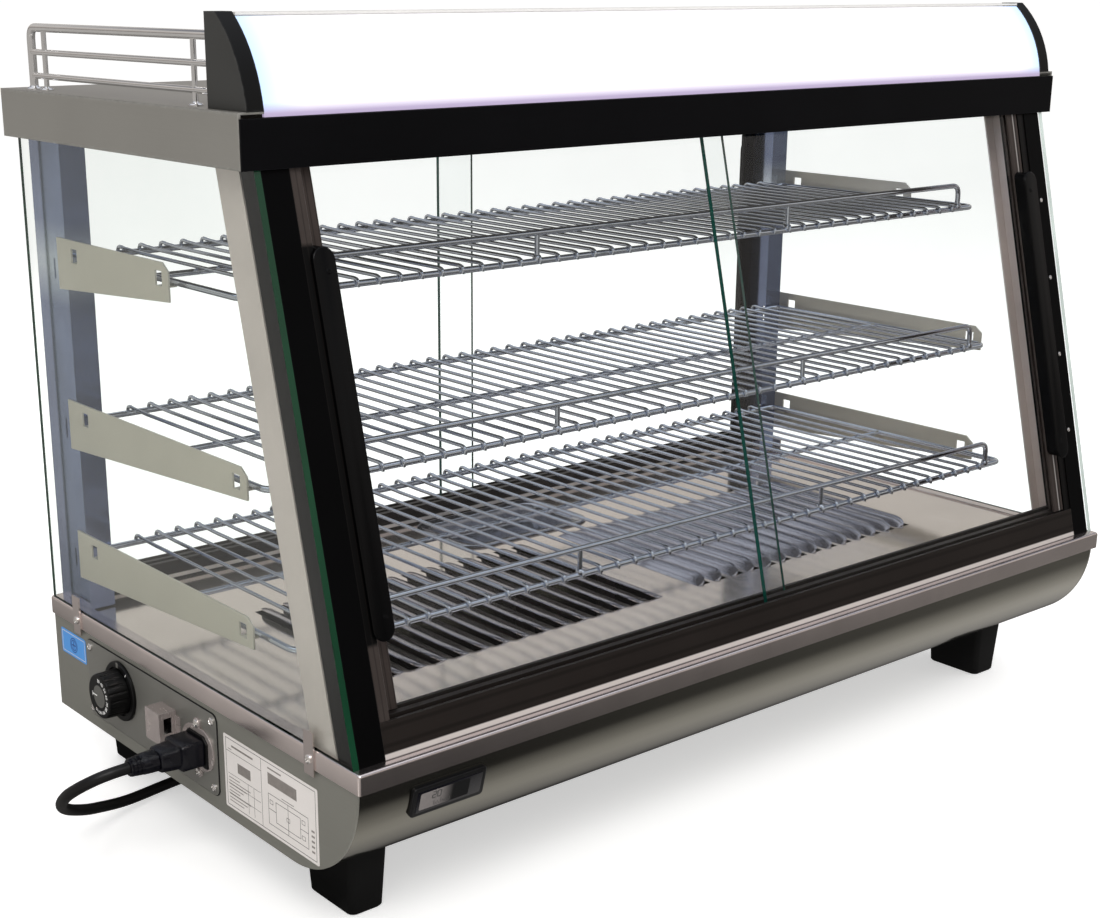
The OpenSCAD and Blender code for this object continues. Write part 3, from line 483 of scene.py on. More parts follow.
# The bright line at the rail's foot stands in for the ledge's top, which is deeper in the real case, and is partly a
# painted highlight along the ledge's front edge.
bronze = surface("bronze_anodised", (0.022, 0.0175, 0.0155), 0.36, 0.45, 0.10, 12, ALONG_X, 0.06, 0.03, 0.08,
                 bevel=0.0004, edge_wear_and_highlight=(0.16, 0.15, 0.14), spec=0.2,
                 lines=(2, 0.0118,
                        [(0.1553, 0.0022, (0.80, 0.74, 0.71)), (0.1815, 0.0014, (0.002, 0.002, 0.002))], 0.5))
bronze_upright = surface("bronze_anodised_upright", (0.055, 0.043, 0.039), 0.34, 0.45, 0.10, 12, ALONG_Z,
                         0.06, 0.03, 0.08, bevel=0.0004, edge_wear_and_highlight=(0.16, 0.15, 0.14),
                         lines=(0, 0.0045, [(0.3844, 0.0009, (0.36, 0.34, 0.33)),
                                            (0.3868, 0.0005, (0.01, 0.01, 0.01))], 0.35), spec=0.25)
# Painted shade: the jamb is coloured near black over the handles' height and wholly on the right-hand side.
jamb_bronze = surface("jamb_bronze", (0.055, 0.044, 0.040), 0.36, 0.4, 0.10, 12, ALONG_Z, 0.06, 0.03, 0.08,
                      lines=(0, 0.0045, [], 0.35), spec=0.25, fade=(0, 0.0, 0.1, (0.0012, 0.0012, 0.0014)),
                      band=(2, 0.359, 0.129, 0.003, (0.0012, 0.0012, 0.0014)))
chrome = surface("chrome_wire", (0.74, 0.78, 0.86), 0.10, 1.0, 0.04, 30, (500, 500, 500), 0.02, 0.03, 0.03)
rail_chrome = surface("rail_chrome", (0.84, 0.83, 0.82), 0.12, 1.0, 0.04, 30, (500, 500, 500), 0.02, 0.03,
                      0.03)
screw_steel = surface("screw_steel", (0.80, 0.77, 0.74), 0.24, 0.9, 0.10, 200, (1500, 1500, 1500), 0.08, 0.08,
                      0.08)
acrylic = surface("diffuser_acrylic", (0.20, 0.17, 0.25), 0.30, 0.0, 0.02, 6, (300, 300, 300), 0.01, 0.04,
                  0.02,
                  emission=(0.5735, 0.5805, (0.28, 0.235, 0.34), (1.0, 1.0, 1.0), 2, 0.385, 0.42,
                            (0.42, 0.66, 0.95)),
                  power=1.15)
# The cap's front-facing faces are painted near black: painted shade on that side.
cap_black = surface("cap_plastic", (0.036, 0.036, 0.034), 0.50, 0.0, 0.10, 14, (1400, 1400, 1400), 0.10, 0.06,
                    0.25, bevel=0.0016, edge_wear_and_highlight=(0.12, 0.12, 0.12), spec=0.2,
                    facing=(1, -0.35, -0.15, (0.003, 0.003, 0.003)))
plastic = surface("black_plastic", (0.005, 0.005, 0.0055), 0.34, 0.0, 0.15, 30, (1600, 1600, 1600), 0.10,
                  0.05, 0.15, bevel=0.0003, edge_wear_and_highlight=(0.04, 0.04, 0.04), spec=0.25)
knob_black = surface("knob_plastic", (0.0035, 0.0035, 0.0035), 0.36, 0.0, 0.15, 30, (1800, 1800, 1800), 0.10,
                     0.05, 0.15, spec=0.25)
knob_grey = surface("knob_face", (0.095, 0.094, 0.086), 0.38, 0.0, 0.08, 60, (1800, 1800, 1800), 0.06, 0.05,
                    0.12, spec=0.3)
white_ink = surface("white_ink", (0.80, 0.80, 0.78), 0.5, 0.0, 0.05, 100, (1500, 1500, 1500), 0.04, 0.05,
                    0.05)
cord_rubber = surface("cord_rubber", (0.0055, 0.005, 0.005), 0.40, 0.0, 0.2, 25, (1200, 1200, 1200), 0.12,
                      0.06, 0.2, spec=0.3)
gloss_black = surface("moulded_plug", (0.0035, 0.0035, 0.0060), 0.22, 0.0, 0.15, 40, (900, 900, 900), 0.08,
                      0.04, 0.05, spec=0.35)
rubber = surface("foot_rubber", (0.0035, 0.0035, 0.0035), 0.6, 0.0, 0.2, 40, (1300, 1300, 1300), 0.15, 0.06,
                 0.3, spec=0.15)
film = surface("label_film", (0.66, 0.625, 0.60), 0.42, 0.0, 0.03, 12, (500, 500, 500), 0.02, 0.03, 0.04,
               coat=0.1)
ink = surface("label_ink", (0.055, 0.052, 0.05), 0.5, 0.0, 0.15, 200, (2500, 2500, 2500), 0.15, 0.05, 0.05)
ink_grey = surface("label_grey", (0.20, 0.18, 0.165), 0.5, 0.0, 0.1, 200, (2500, 2500, 2500), 0.2, 0.05, 0.05)
blue_film = surface("sticker_blue", (0.06, 0.27, 0.66), 0.38, 0.0, 0.05, 30, (500, 500, 500), 0.03, 0.03,
                    0.04, coat=0.1)
blue_dark = surface("sticker_dark_blue", (0.015, 0.07, 0.26), 0.4, 0.0, 0.08, 60, (900, 900, 900), 0.05, 0.03,
                    0.04)
lcd = surface("display_window", (0.17, 0.155, 0.15), 0.42, 0.0, 0.12, 90, (2600, 2600, 2600), 0.15, 0.03,
              0.03, spec=0.1, fade=(0, -0.359, -0.346, (0.006, 0.006, 0.0065)))
rocker_black = surface("rocker_plastic", (0.006, 0.006, 0.006), 0.28, 0.0, 0.08, 60, (900, 900, 900), 0.05,
                       0.05, 0.05, spec=0.3)
heater = surface("heater_sheath", (0.20, 0.17, 0.15), 0.42, 0.9, 0.2, 60, (400, 400, 400), 0.1, 0.08, 0.15)
white_plastic = surface("white_plastic", (0.72, 0.72, 0.69), 0.4, 0.0, 0.06, 40, (700, 700, 700), 0.04, 0.06,
                        0.1)
copper = surface("copper", (0.70, 0.35, 0.20), 0.3, 1.0, 0.12, 60, (600, 600, 600), 0.08, 0.08, 0.08)
pale_glass = glass("side_pane", (0.945, 0.975, 0.955), (0.001, 0.040, 0.016), (1, 0, 0))
# The far pane is the same glass as the near one; its pale rims are painted light.
far_glass = glass("far_side_pane", (0.97, 0.99, 0.985), (0.60, 0.68, 0.65), (1, 0, 0))
door_glass = glass("door_pane", (0.975, 0.99, 0.985), (0.006, 0.060, 0.045), (0, 0.97, -0.2415))
back_glass = glass("rear_pane", (0.975, 0.99, 0.985), (0.006, 0.060, 0.045), (0, 1, 0))

finish_of = {
    base_metal: ["base_shell"], end_metal: ["base_end_left", "base_end_right"], trim_steel: ["glass_clips"],
    heater: ["heating_elements"], white_plastic: ["thermostat_body", "terminal_block", "led_tube"],
    copper: ["thermostat_bulb"], cover_paint: ["lamp_driver", "light_box_cover"], plate_metal: ["control_plate"],
    post_steel: ["front_post_left", "front_post_right"], rear_steel: ["rear_post_left", "rear_post_right"],
    plastic: ["switch_body", "power_inlet"], rocker_black: ["power_switch"],
    bracket_steel: ["shelf_brackets"], canopy_steel: ["canopy_tray"], black_metal: ["canopy_fascia"],
    black_upright: ["front_stile_left", "front_stile_right"], jamb_bronze: ["front_jambs"],
    bronze: ["front_tracks", "rear_tracks"], bronze_upright: ["front_edge_left", "front_edge_right"],
    acrylic: ["light_diffuser"], cap_black: ["canopy_end_caps"],
    pale_glass: ["side_glass_left"], far_glass: ["side_glass_right"], door_glass: ["front_door_left", "front_door_right"],
    back_glass: ["rear_door_left", "rear_door_right"],
}
guard_steel = surface("guard_steel", (0.50, 0.44, 0.42), 0.26, 0.6, 0.10, 60, (900, 60, 60), 0.06, 0.03, 0.08,
                      bevel=0.0006, edge_wear_and_highlight=(0.95, 0.93, 0.9), edge_wear_and_highlight_amount=0.7)
finish_of[guard_steel] = ["switch_guard", "inlet_retainer"]
for mat, names in finish_of.items():
    for name in names:
        ob = nodes[name]
        if not ob.material_slots:
            ob.data.materials.append(mat)
        for s in ob.material_slots:
            s.material = mat

# ---------------------------------------------------------------- cord, coil and plug
route = [(-486, -15, 98), (-488, -15, 98), (-499.3, -13.6, 96.9), (-509.5, -9.5, 93.7),
         (-517.5, -3.2, 88.6), (-522.7, 4.7, 82.3), (-524.5, 13.6, 75.3), (-522.1, 27.6, 64.2),
         (-515.9, 40.8, 53.7), (-506.4, 52.8, 44.2), (-494.4, 63.3, 35.9), (-480.6, 72.4, 28.7),
         (-466.2, 81.4, 22.7), (-450.4, 90.3, 17), (-433.9, 98.5, 12.4), (-415.9, 106.5, 9.2),
         (-397.3, 113.7, 6.9), (-378, 119, 5.6), (-358, 123.5, 5), (-339, 130.5, 5), (-321, 142, 5),
         (-306, 159, 5), (-296, 180, 5), (-291, 203, 5), (-290, 227, 5), (-290, 250, 5),
         (-290, 274, 5)]


def ease(x):
    x = min(1, max(0, x))
    return x * x * (3 - 2 * x)


TURNS = 4.25
COIL_X, COIL_Y = -231, 300
COIL_R = 59.2   # middle of the outermost lane
LANE = 9.3      # from one lane to the next, just over the cord's diameter
coil = []
for i in range(1, int(TURNS * 40) + 1):
    done = i / 40
    a = math.pi - TAU * done
    r = COIL_R - LANE * ease((done - 0.80) / 0.18) - LANE * ease((done - 1.80) / 0.18)
    r += 4.6 * ease((done - 2.68) / 0.17) + LANE * ease((done - 3.52) / 0.22)
    z = 5 + 9.2 * ease((done - 2.56) / 0.22)
    coil.append((COIL_X + r * math.cos(a), COIL_Y + r * math.sin(a), z))
tail = [(-218, 354.2, 14.0), (-204, 351.8, 13.3), (-190, 350, 13), (-184, 350, 13)]
cord_path = smooth_curve(route, 5) + smooth_curve([(-290.1, 288, 5)] + coil + tail, 2)
cord = Shell().add(tube(cord_path, 4.5, 20), cord_rubber).make("mains_cord", "case",
             ("power_cord", "cord_coil"), 60, slot="cord_rubber")


def along_minus_x(cy, cz, shift=0):
    """Local (u, v, t): u to the viewer's right, v up, t the world X."""
    return lambda u, v, t: (t + shift, cy - u, cz + v)


plug = Shell()
body = []
for x, w, h, r in ((-190.5, 17, 14, 7), (-189, 22, 18, 8.5), (-184, 30, 23, 10), (-176, 35, 25.4, 11),
                   (-166, 36, 26, 10), (-156, 36, 26, 9), (-152.5, 35.4, 25.4, 9), (-151.2, 33.5, 23.6, 8)):
    body.append([(u, v, x) for u, v in rrect(w, h, r, 8)])
plug.add(loft(body), gloss_black, along_minus_x(350, 13.3, 22))
relief = [(4.7, -212.5), (5.3, -211.8)]
for i in range(5):
    x = -209.5 + i * 4
    relief += [(5.5 + 0.15 * i, x), (6.0 + 0.15 * i, x + 0.5), (6.0 + 0.15 * i, x + 2.2), (5.3 + 0.15 * i, x + 2.7)]
relief += [(6.6, -188)]
plug.add(lathe(relief, 28), gloss_black, along_minus_x(350, 13, 22))
for dy in (-9.5, 9.5):
    plug.add(lathe([(2.45, -151.5), (2.45, -143)], 24), plastic, along_minus_x(350 + dy, 13, 22))
    plug.add(lathe([(2.4, -143), (2.4, -134.2), (2.1, -132.8), (1.2, -132.0)], 24), screw_steel,
             along_minus_x(350 + dy, 13, 22))
plug_ob = plug.make("mains_plug_moulded", "case", ("mains_plug",), slot="cord_rubber")

conn = Shell()
sections = []
for x, w, h, r in ((-430.8, 28, 20.8, 3), (-431.8, 28.6, 21.4, 3.2), (-447.5, 28.6, 21.4, 3.6), (-448.6, 27.8, 20.6, 4),
                   (-449.4, 23.5, 18.2, 4.4), (-456, 22.6, 17.8, 5), (-463.2, 21.6, 17.2, 5.6), (-464.4, 20, 15.8, 6)):
    sections.append([(u, v, x) for u, v in rrect(w, h, r, 6)])
conn.add(loft(sections), gloss_black, along_minus_x(-15, 98))
relief = [(7.6, -463.8), (8.7, -465), (8.6, -470), (8.3, -475.6), (7.9, -476.4)]
for i in range(3):
    x = -477 - i * 3
    relief += [(7.9 - 0.3 * i, x), (7.8 - 0.3 * i, x - 2.1), (7.2 - 0.3 * i, x - 2.3), (7.2 - 0.3 * i, x - 2.9)]
relief += [(6.9, -486.2), (6.2, -486.9), (4.55, -487.0)]
conn.add(lathe(relief, 36), gloss_black, along_minus_x(-15, 98))
conn_ob = conn.make("appliance_connector", "case", ("cord_connector",), slot="cord_rubber")


# ---------------------------------------------------------------- shelves and rails
def wire_shelf(name, node, zb, yf):
    s = Shell()
    back = 170
    ring = [(-406.5, yf, zb), (406.5, yf, zb), (406.5, back, zb), (-406.5, back, zb)]
    s.add(tube(rounded(ring, 9, 6, True), 2.5, 14, True), chrome)
    s.add(tube([(-404.3, (yf + back) / 2, zb), (404.3, (yf + back) / 2, zb)], 2.4, 12), chrome)
    for i in range(40):
        x = -370.5 + 19 * i
        hook = [(x, back + 3.6, zb - 1.4), (x, back + 4.1, zb + 1.6), (x, back + 2.6, zb + 4.4), (x, back - 1, zb + 5.2),
                (x, back - 8, zb + 4.3)]
        tip = [(x, yf + 6, zb + 4.0), (x, yf + 1, zb + 4.0), (x, yf - 2.6, zb + 3.0), (x, yf - 3.9, zb + 0.6),
               (x, yf - 3.5, zb - 1.6)]
        mid = [(x, back - 30, zb + 3.95), (x, (yf + back) / 2, zb + 3.9), (x, yf + 30, zb + 3.95)]
        s.add(tube(smooth_curve(hook, 3)[:-1] + mid + smooth_curve(tip, 3), 1.5, 10), chrome)
    guard = [(-382.5, yf, zb + 1.5), (-382.5, yf, zb + 22), (382.5, yf, zb + 22), (382.5, yf, zb + 1.5)]
    s.add(tube(rounded(guard, 9, 7), 2.4, 14), chrome)
    for x in (-143, 143):
        s.add(tube([(x, yf, zb + 1.5), (x, yf, zb + 21)], 2.1, 12), chrome)
    for x in (-382.5, -143, 143, 382.5):
        s.add(lathe([(2.2, -2.4), (3.3, -1.8), (3.6, 0), (3.2, 1.8), (2.2, 2.6)], 14), chrome,
              lambda u, v, t, x=x: (x + u, yf + v, zb + 2.4 + t))
    return s.make(name, "case", (node,), 40, slot="shelf_chrome")


wire_shelf("wire_shelf_top", "shelf_top", 447, -72)
wire_shelf("wire_shelf_middle", "shelf_middle", 316, -98)
wire_shelf("wire_shelf_bottom", "shelf_bottom", 205, -127)

rails = Shell()
for x in (-425, 425):
    rails.add(tube(rounded([(x, -79.8, 621), (x, 193, 621), (x, 193, 575)], 9, 8), 3.2, 18), rail_chrome)
    for z in (603, 585.5):
        rails.add(tube([(x, -79.8, z), (x, 193, z)], 2.3, 14), rail_chrome)
    for y in (171, -54):
        rails.add(tube([(x, y, 575), (x, y, 620)], 2.0, 14), rail_chrome)
    for y, r in ((193, 3.2), (171, 2.0), (-54, 2.0)):
        rails.add(lathe([(r + 3.2, 575), (r + 3.2, 576.0), (r + 2.4, 576.8), (r + 0.6, 577.2), (r, 578)], 24),
                  rail_chrome, lambda u, v, t, x=x, y=y: (x + u, y + v, t))
    for z, r in ((621, 3.2), (603, 2.3), (585.5, 2.3)):
        rails.add(lathe([(r + 2.6, 79.9), (r + 2.6, 79.0), (r + 1.6, 78.3), (r, 78)], 20), rail_chrome,
                  lambda u, v, t, x=x, z=z: (x + u, -t, z + v))
rails.make("canopy_rails", "case", ("gallery_rails",), 40, slot="shelf_chrome")

# ---------------------------------------------------------------- heated deck with its louvres
TOP = 151.5
deck = Shell()
centres = sorted([s * (29 + 21 * i) for s in (-1, 1) for i in range(14)])
xs = sorted({-424, 424, -63, 73} | {c + d for c in centres for d in (-8, 8)})
ys = [-224, -98, 88, 113, 191, 227]
grid = []
for x in xs:
    for y in ys:
        grid.append((x, y))


def is_hole(x, y):
    if -98 < y < 88 and any(abs(x - c) < 8 for c in centres):
        return True
    return 113 < y < 191 and -63 < x < 73


n = len(ys)
for t, flip in ((TOP, False), (TOP - 1.2, True)):
    faces = []
    for i in range(len(xs) - 1):
        for j in range(n - 1):
            if is_hole((xs[i] + xs[i + 1]) / 2, (ys[j] + ys[j + 1]) / 2):
                continue
            f = [i * n + j, (i + 1) * n + j, (i + 1) * n + j + 1, i * n + j + 1]
            faces.append(f[::-1] if flip else f)
    deck.add(([(x, y, t) for x, y in grid], faces), deck_steel)
edge_loops = [[(-424, -224), (424, -224), (424, 227), (-424, 227)], [(-63, 113), (73, 113), (73, 191), (-63, 191)]]
for c in centres:
    edge_loops.append([(c - 8, -98), (c + 8, -98), (c + 8, 88), (c - 8, 88)])
for loop in edge_loops:
    deck.add(loft([[(x, y, TOP - 1.2) for x, y in loop], [(x, y, TOP) for x, y in loop]], False, False),
             deck_steel)


def louvre(c):
    """A pressed hood: its inner edge meets the deck, its outer edge stands 6 mm up, and both ends close in a curve."""
    side = 1 if c > 0 else -1
    us = [i / 10 for i in range(11)]
    vs = [0, 0.6, 1.6, 3, 5, 7.5, 10.5, 14, 18, 24, 40, 70, 93]
    vs = vs + [186 - v for v in reversed(vs[:-1])]
    top, low = [], []
    for v in vs:
        e = min(v, 186 - v) / 20
        e = 1 if e >= 1 else math.sqrt(max(0, 1 - (1 - e) ** 2))
        for u in us:
            bow = math.sin(u * math.pi / 2) ** 0.9
            h = 6.0 * e * bow
            reach = -8 + 16 * u * (0.35 + 0.65 * e) if u > 0 else -8
            low_h = max(-1.0, h - 1.0)
            top.append((c + side * reach, -98 + v, TOP + h - 0.02))
            low.append((c + side * reach, -98 + v, TOP + low_h - 0.02))
    w = len(us)
    k = len(top)
    faces = []
    for i in range(len(vs) - 1):
        for j in range(w - 1):
            a = [i * w + j, i * w + j + 1, (i + 1) * w + j + 1, (i + 1) * w + j]
            faces.append(a)
            faces.append([q + k for q in a][::-1])
        a = [i * w + w - 1, (i + 1) * w + w - 1]
        faces.append([a[0], a[0] + k, a[1] + k, a[1]])
    return top + low, faces


for c in centres:
    deck.add(louvre(c), louvre_steel)
deck.make("heated_deck", "case", ("heat_deck",), 28, slot="deck_steel")

LEDGE_L, LEDGE_W = 856, 462
ledge = Shell()
rings = []
for wi, di, z in ((0, 0, 138), (0, 0, 150.6), (0.12, 0.12, 151.5), (0.5, 0.5, 152.3), (1.1, 1.1, 152.8), (1.9, 1.9, 153),
                  (4, 4, 153), (15.6, 19.6, 153), (16, 20, 152.6), (16, 20, 151.5), (1.5, 1.5, 151.5), (1.5, 1.5, 138.4),
                  (1.2, 1.2, 138), (0.3, 0.3, 138), (0, 0, 138)):
    rings.append([(u, v, z) for u, v in rrect(LEDGE_L - 2 * wi, LEDGE_W - 2 * di, 2.4 if wi < 10 else 1.2, 6)])
ledge.add(loft(rings, False, False), trim_steel)
ledge.make("ledge_frame", "case", ("trim_frame",), 28, slot="trim_steel")

# Thin dark line round the control plate, shown as a black ring: painted shade along the plate's proud edge. Its depth
# is guessed.
PLATE_Y, PLATE_Z = 63, 99
shade_ring = Shell()
outer = [(PLATE_Y + u, PLATE_Z + v) for u, v in rrect(211.4, 67.4, 6.6, 8)]
inner = [(PLATE_Y + u, PLATE_Z + v) for u, v in rrect(209.6, 65.6, 5.8, 8)]
shade_ring_rings = ((-426.0, outer), (-426.7, outer), (-426.9, inset(outer, 0.3)), (-426.9, inner), (-426.0, inner))
shade_ring.add(loft([[(x, u, v) for u, v in ring] for x, ring in shade_ring_rings], False, False), plastic)
shade_ring.make("plate_shade_ring", "case", (), 40, slot="black_plastic")

pan = Shell()
rings = []
for d, z in ((29, 133.5), (13.6, 133.6), (11.8, 134.6), (11, 137), (10.8, 148), (9.6, 150.6), (7, 151.7), (1.6, 151.7),
             (0.3, 152.0), (0, 152.8), (0.6, 153.6), (2.2, 153.9), (4.0, 153.5), (5.4, 152.9), (8.6, 152.8),
             (10.6, 152.0), (11.9, 150), (12.4, 146), (12.8, 138), (14.2, 135.2), (17, 134.7), (30, 134.7)):
    rings.append([(5 + u, 152 + v, z) for u, v in rrect(154 - 2 * d, 96 - 2 * d, max(4, 20 - d * 0.5), 8)])
pan.add(loft(rings), tray_steel)
pan.make("water_pan_pressed", "water_pan", ("water_tray",), 40, slot="deck_steel")

# ---------------------------------------------------------------- left end: dial, screws, labels
knob = Shell()


def flutes(a, h):
    return 1 - (0.045 * max(0, math.cos(18 * a)) ** 3 if -446.6 < h < -432 else 0)


prof = [(6, -428.9), (18.0, -428.9), (18.9, -429.6), (19, -431), (18.9, -436), (18.8, -441), (18.6, -445.6),
        (18.2, -446.8), (17.4, -447.35), (16.9, -447.4)]
knob.add(lathe(prof, 216, flutes), knob_black, along_minus_x(109, 104))
knob.add(lathe([(17.0, -447.38), (16.6, -447.30), (8, -447.42), (0.4, -447.44)], 96), knob_grey,
         along_minus_x(109, 104))
knob.add(lathe([(3, -441), (3, -425)], 24), screw_steel, along_minus_x(109, 104))
for i, word in enumerate(["30", "40", "50", "60", "70", "80", "90", "100", "110"]):
    a = math.radians(88 - 24.5 * i)
    part = letters(word, 4.2 if len(word) < 3 else 3.7, 0.04)
    spin = a - math.pi / 2

    def place(u, v, t, a=a, spin=spin):
        x = u * math.cos(spin) - v * math.sin(spin) + 13.4 * math.cos(a)
        y = u * math.sin(spin) + v * math.cos(spin) + 13.4 * math.sin(a)
        return (-447.5 - t, 109 - x, 104 + y)

    knob.add(part, white_ink, place)
bar = plate([(-11, -0.4), (-3.4, -0.4), (-3.4, 0.4), (-11, 0.4)], 0, 0.1, 0.02, 1)
knob.add(bar, white_ink, lambda u, v, t: (-447.45 - t, 109 - u, 104 + v))
bar = plate([(-11.3, -1.9), (-10.6, -1.9), (-10.6, 1.9), (-11.3, 1.9)], 0, 0.1, 0.02, 1)
knob.add(bar, white_ink, lambda u, v, t: (-447.45 - t, 109 - u, 104 + v))
knob.make("dial_knob", "knob", ("thermostat_knob",), 30, slot="black_plastic")

ring = Shell()
ring.add(lathe([(6.6, -427.25), (24.6, -427.25), (25, -427.6), (25, -429.4), (24.4, -430.1), (23.5, -430.2),
                (20.6, -430.1), (20.2, -429.5), (20.1, -428.3), (6.6, -428.3)], 96), knob_black,
         along_minus_x(109, 104))
for ang, r0, r1, w in ((52, 20.9, 24.3, 0.7), (90, 20.6, 24.9, 3.2)):
    a = math.radians(ang)
    part = plate([(r0, -w / 2), (r1, -w / 2), (r1, w / 2), (r0, w / 2)], 0, 0.12, 0.03, 1)
    ring.add(part, white_ink if w < 1 else plate_metal,
             lambda u, v, t, a=a: (-430.2 - t, 109 - (u * math.cos(a) - v * math.sin(a)),
                                   104 + u * math.sin(a) + v * math.cos(a)))
ring.make("dial_ring", "case", ("dial_flange",), 40, slot="black_plastic")


def pan_head(r, h):
    """Pan head with a cross recess, apex along +t."""
    rings_n, spokes = 12, 40
    verts, faces = [], []
    for i in range(rings_n + 1):
        q = i / rings_n
        for k in range(spokes):
            a = TAU * k / spokes
            x, y = r * q * math.cos(a), r * q * math.sin(a)
            z = h * math.sqrt(max(0, 1 - (q * 0.93) ** 2.6))
            lo, hi = sorted((abs(x), abs(y)))
            cut = max(0, min(1, (0.17 * r - lo) / (0.05 * r))) * max(0, min(1, (0.58 * r - hi) / (0.1 * r)))
            verts.append((x, y, z - cut * h * 0.55))
    for i in range(rings_n):
        for k in range(spokes):
            k2 = (k + 1) % spokes
            faces.append([i * spokes + k, (i + 1) * spokes + k, (i + 1) * spokes + k2, i * spokes + k2])
    base = len(verts)
    for k in range(spokes):
        a = TAU * k / spokes
        verts.append((r * math.cos(a), r * math.sin(a), 0))
    for k in range(spokes):
        k2 = (k + 1) % spokes
        faces.append([rings_n * spokes + k, base + k, base + k2, rings_n * spokes + k2])
    return verts, faces


screws = Shell()
spots = [(-427.2, y, z) for y in (-36, 162) for z in (72, 126)] + [(-428.7, -15, z) for z in (78, 118)]
for i, (x, y, z) in enumerate(spots):
    t = math.radians(17 + 31 * i)
    screws.add(pan_head(3.3, 2.0), screw_steel,
               lambda u, v, w, x=x, y=y, z=z, t=t: (x - w, y + u * math.cos(t) - v * math.sin(t),
                                                    z + u * math.sin(t) + v * math.cos(t)))
for side in (-1, 1):
    for y in (-172, 180):
        screws.add(pan_head(3.3, 2.0), screw_steel,
                   lambda u, v, w, y=y, side=side: (side * (429.2 + w), y + u, 145 + v))
screws.make("cross_head_screws", "case", ("panel_screws",), 30, slot="screw_steel")

stile_screws = Shell()
for side, zs in ((1, (250, 320, 390, 460)), (-1, ())):
    for z in zs:
        stile_screws.add(pan_head(1.9, 0.9), screw_steel,
                         lambda u, v, w, z=z, side=side: (side * 411 + u, front_y(z + v) + 0.5 - w, z + v))
stile_screws.make("stile_screws", "case", (), 30, slot="screw_steel")

labels = Shell()


def on_end(u, v, t):
    return (-426.02 - t, u, v)


labels.add(plate([(-51 - 126 / 2 + a, 93 + b) for a, b in rrect(126, 59, 1.5)], 0, 0.2, 0.05, 1), film,
           on_end)
labels.add(plate([(195.5 + a, 117 + b) for a, b in rrect(45, 22, 2)], 0, 0.2, 0.05, 1), blue_film, on_end)


def stroke(y0, z0, y1, z1, w, mat, lift=0.2):
    d = Vector((y1 - y0, z1 - z0))
    nrm = Vector((-d.y, d.x)).normalized() * w / 2
    quad = [(y0 + nrm.x, z0 + nrm.y), (y0 - nrm.x, z0 - nrm.y), (y1 - nrm.x, z1 - nrm.y), (y1 + nrm.x, z1 + nrm.y)]
    labels.add(([(a, b, t) for t in (lift, lift + 0.05) for a, b in quad],
                [[3, 2, 1, 0], [4, 5, 6, 7], [0, 1, 5, 4], [1, 2, 6, 5], [2, 3, 7, 6], [3, 0, 4, 7]]),
               mat, on_end)


def box_lines(y0, z0, y1, z1, w, mat):
    for a in ((y0, z0, y1, z0), (y0, z1, y1, z1), (y0, z0, y0, z1), (y1, z0, y1, z1)):
        stroke(*a, w, mat)


# the far end of the label's reading direction is towards -Y
box_lines(-54, 66, -174, 120, 0.45, ink)
stroke(-54, 110, -103, 110, 0.35, ink)
stroke(-103, 66, -103, 120, 0.35, ink)
for y0, y1, z, w in ((-62, -92, 115, 1.5), (-57, -62, 112, 0.6)):
    stroke(y0, z, y1, z, w, ink_grey)
stroke(-70, 100, -88, 100, 8, ink_grey)
for i in range(8):
    z = 89 - 2.7 * i
    stroke(-57, z, -72 - 5 * ((i * 7) % 4), z, 0.7, ink_grey)
for y in (-84, -92):
    stroke(y, 92, y, 68, 0.3, ink)
for z in (92, 84, 76):
    stroke(-56, z, -101, z, 0.3, ink)
stroke(-112, 108, -150, 108, 9, ink_grey)
stroke(-112, 116, -130, 116, 1.2, ink_grey)
box_lines(-112, 72, -164, 96, 0.4, ink)
box_lines(-122, 76, -154, 92, 0.4, ink)
for a in ((-138, 72, -138, 96), (-112, 84, -122, 84), (-154, 84, -164, 84), (-130, 98, -146, 98)):
    stroke(*a, 0.4, ink)
for y, z in ((-116, 90), (-158, 78), (-158, 90), (-138, 84)):
    box_lines(y - 2, z - 1.5, y + 2, z + 1.5, 0.35, ink)
for i in range(5):
    stroke(-168, 72 + 4 * i, -172, 72 + 4 * i, 1.6, ink_grey)
box_lines(175, 108, 216, 126, 0.5, film)
for r in (6.2, 4.4):
    pts = [(195.5 + r * math.cos(TAU * k / 28), 117 + r * math.sin(TAU * k / 28)) for k in range(29)]
    for a, b in zip(pts, pts[1:]):
        stroke(a[0], a[1], b[0], b[1], 0.9, blue_dark)
for a in ((192, 117, 199, 117), (195.5, 113.5, 195.5, 120.5)):
    stroke(*a, 1.2, blue_dark)
labels.make("end_labels", "case", ("side_labels",), 40, fix=False, slot="label_film")

# ---------------------------------------------------------------- thermometer
tilt = math.radians(15)


def on_nose(u, w, v):
    """u along X, w up the face, v outwards from the nose's axis."""
    return (-349 + u, -142 - v * math.cos(tilt) - w * math.sin(tilt), 138 - v * math.sin(tilt) + w * math.cos(tilt))


meter = Shell()
meter.add(plate(rrect(64, 25, 3.2, 8), 81, 86.5, 1.1, 4), plastic, on_nose)
meter.add(plate(rrect(57, 18.4, 1.4, 5), 86.3, 86.62, 0.25, 2), gloss_black, on_nose)
meter.add(plate([(u - 4, w) for u, w in rrect(43, 14.4, 1.2, 5)], 86.4, 86.7, 0.1, 1), lcd, on_nose)


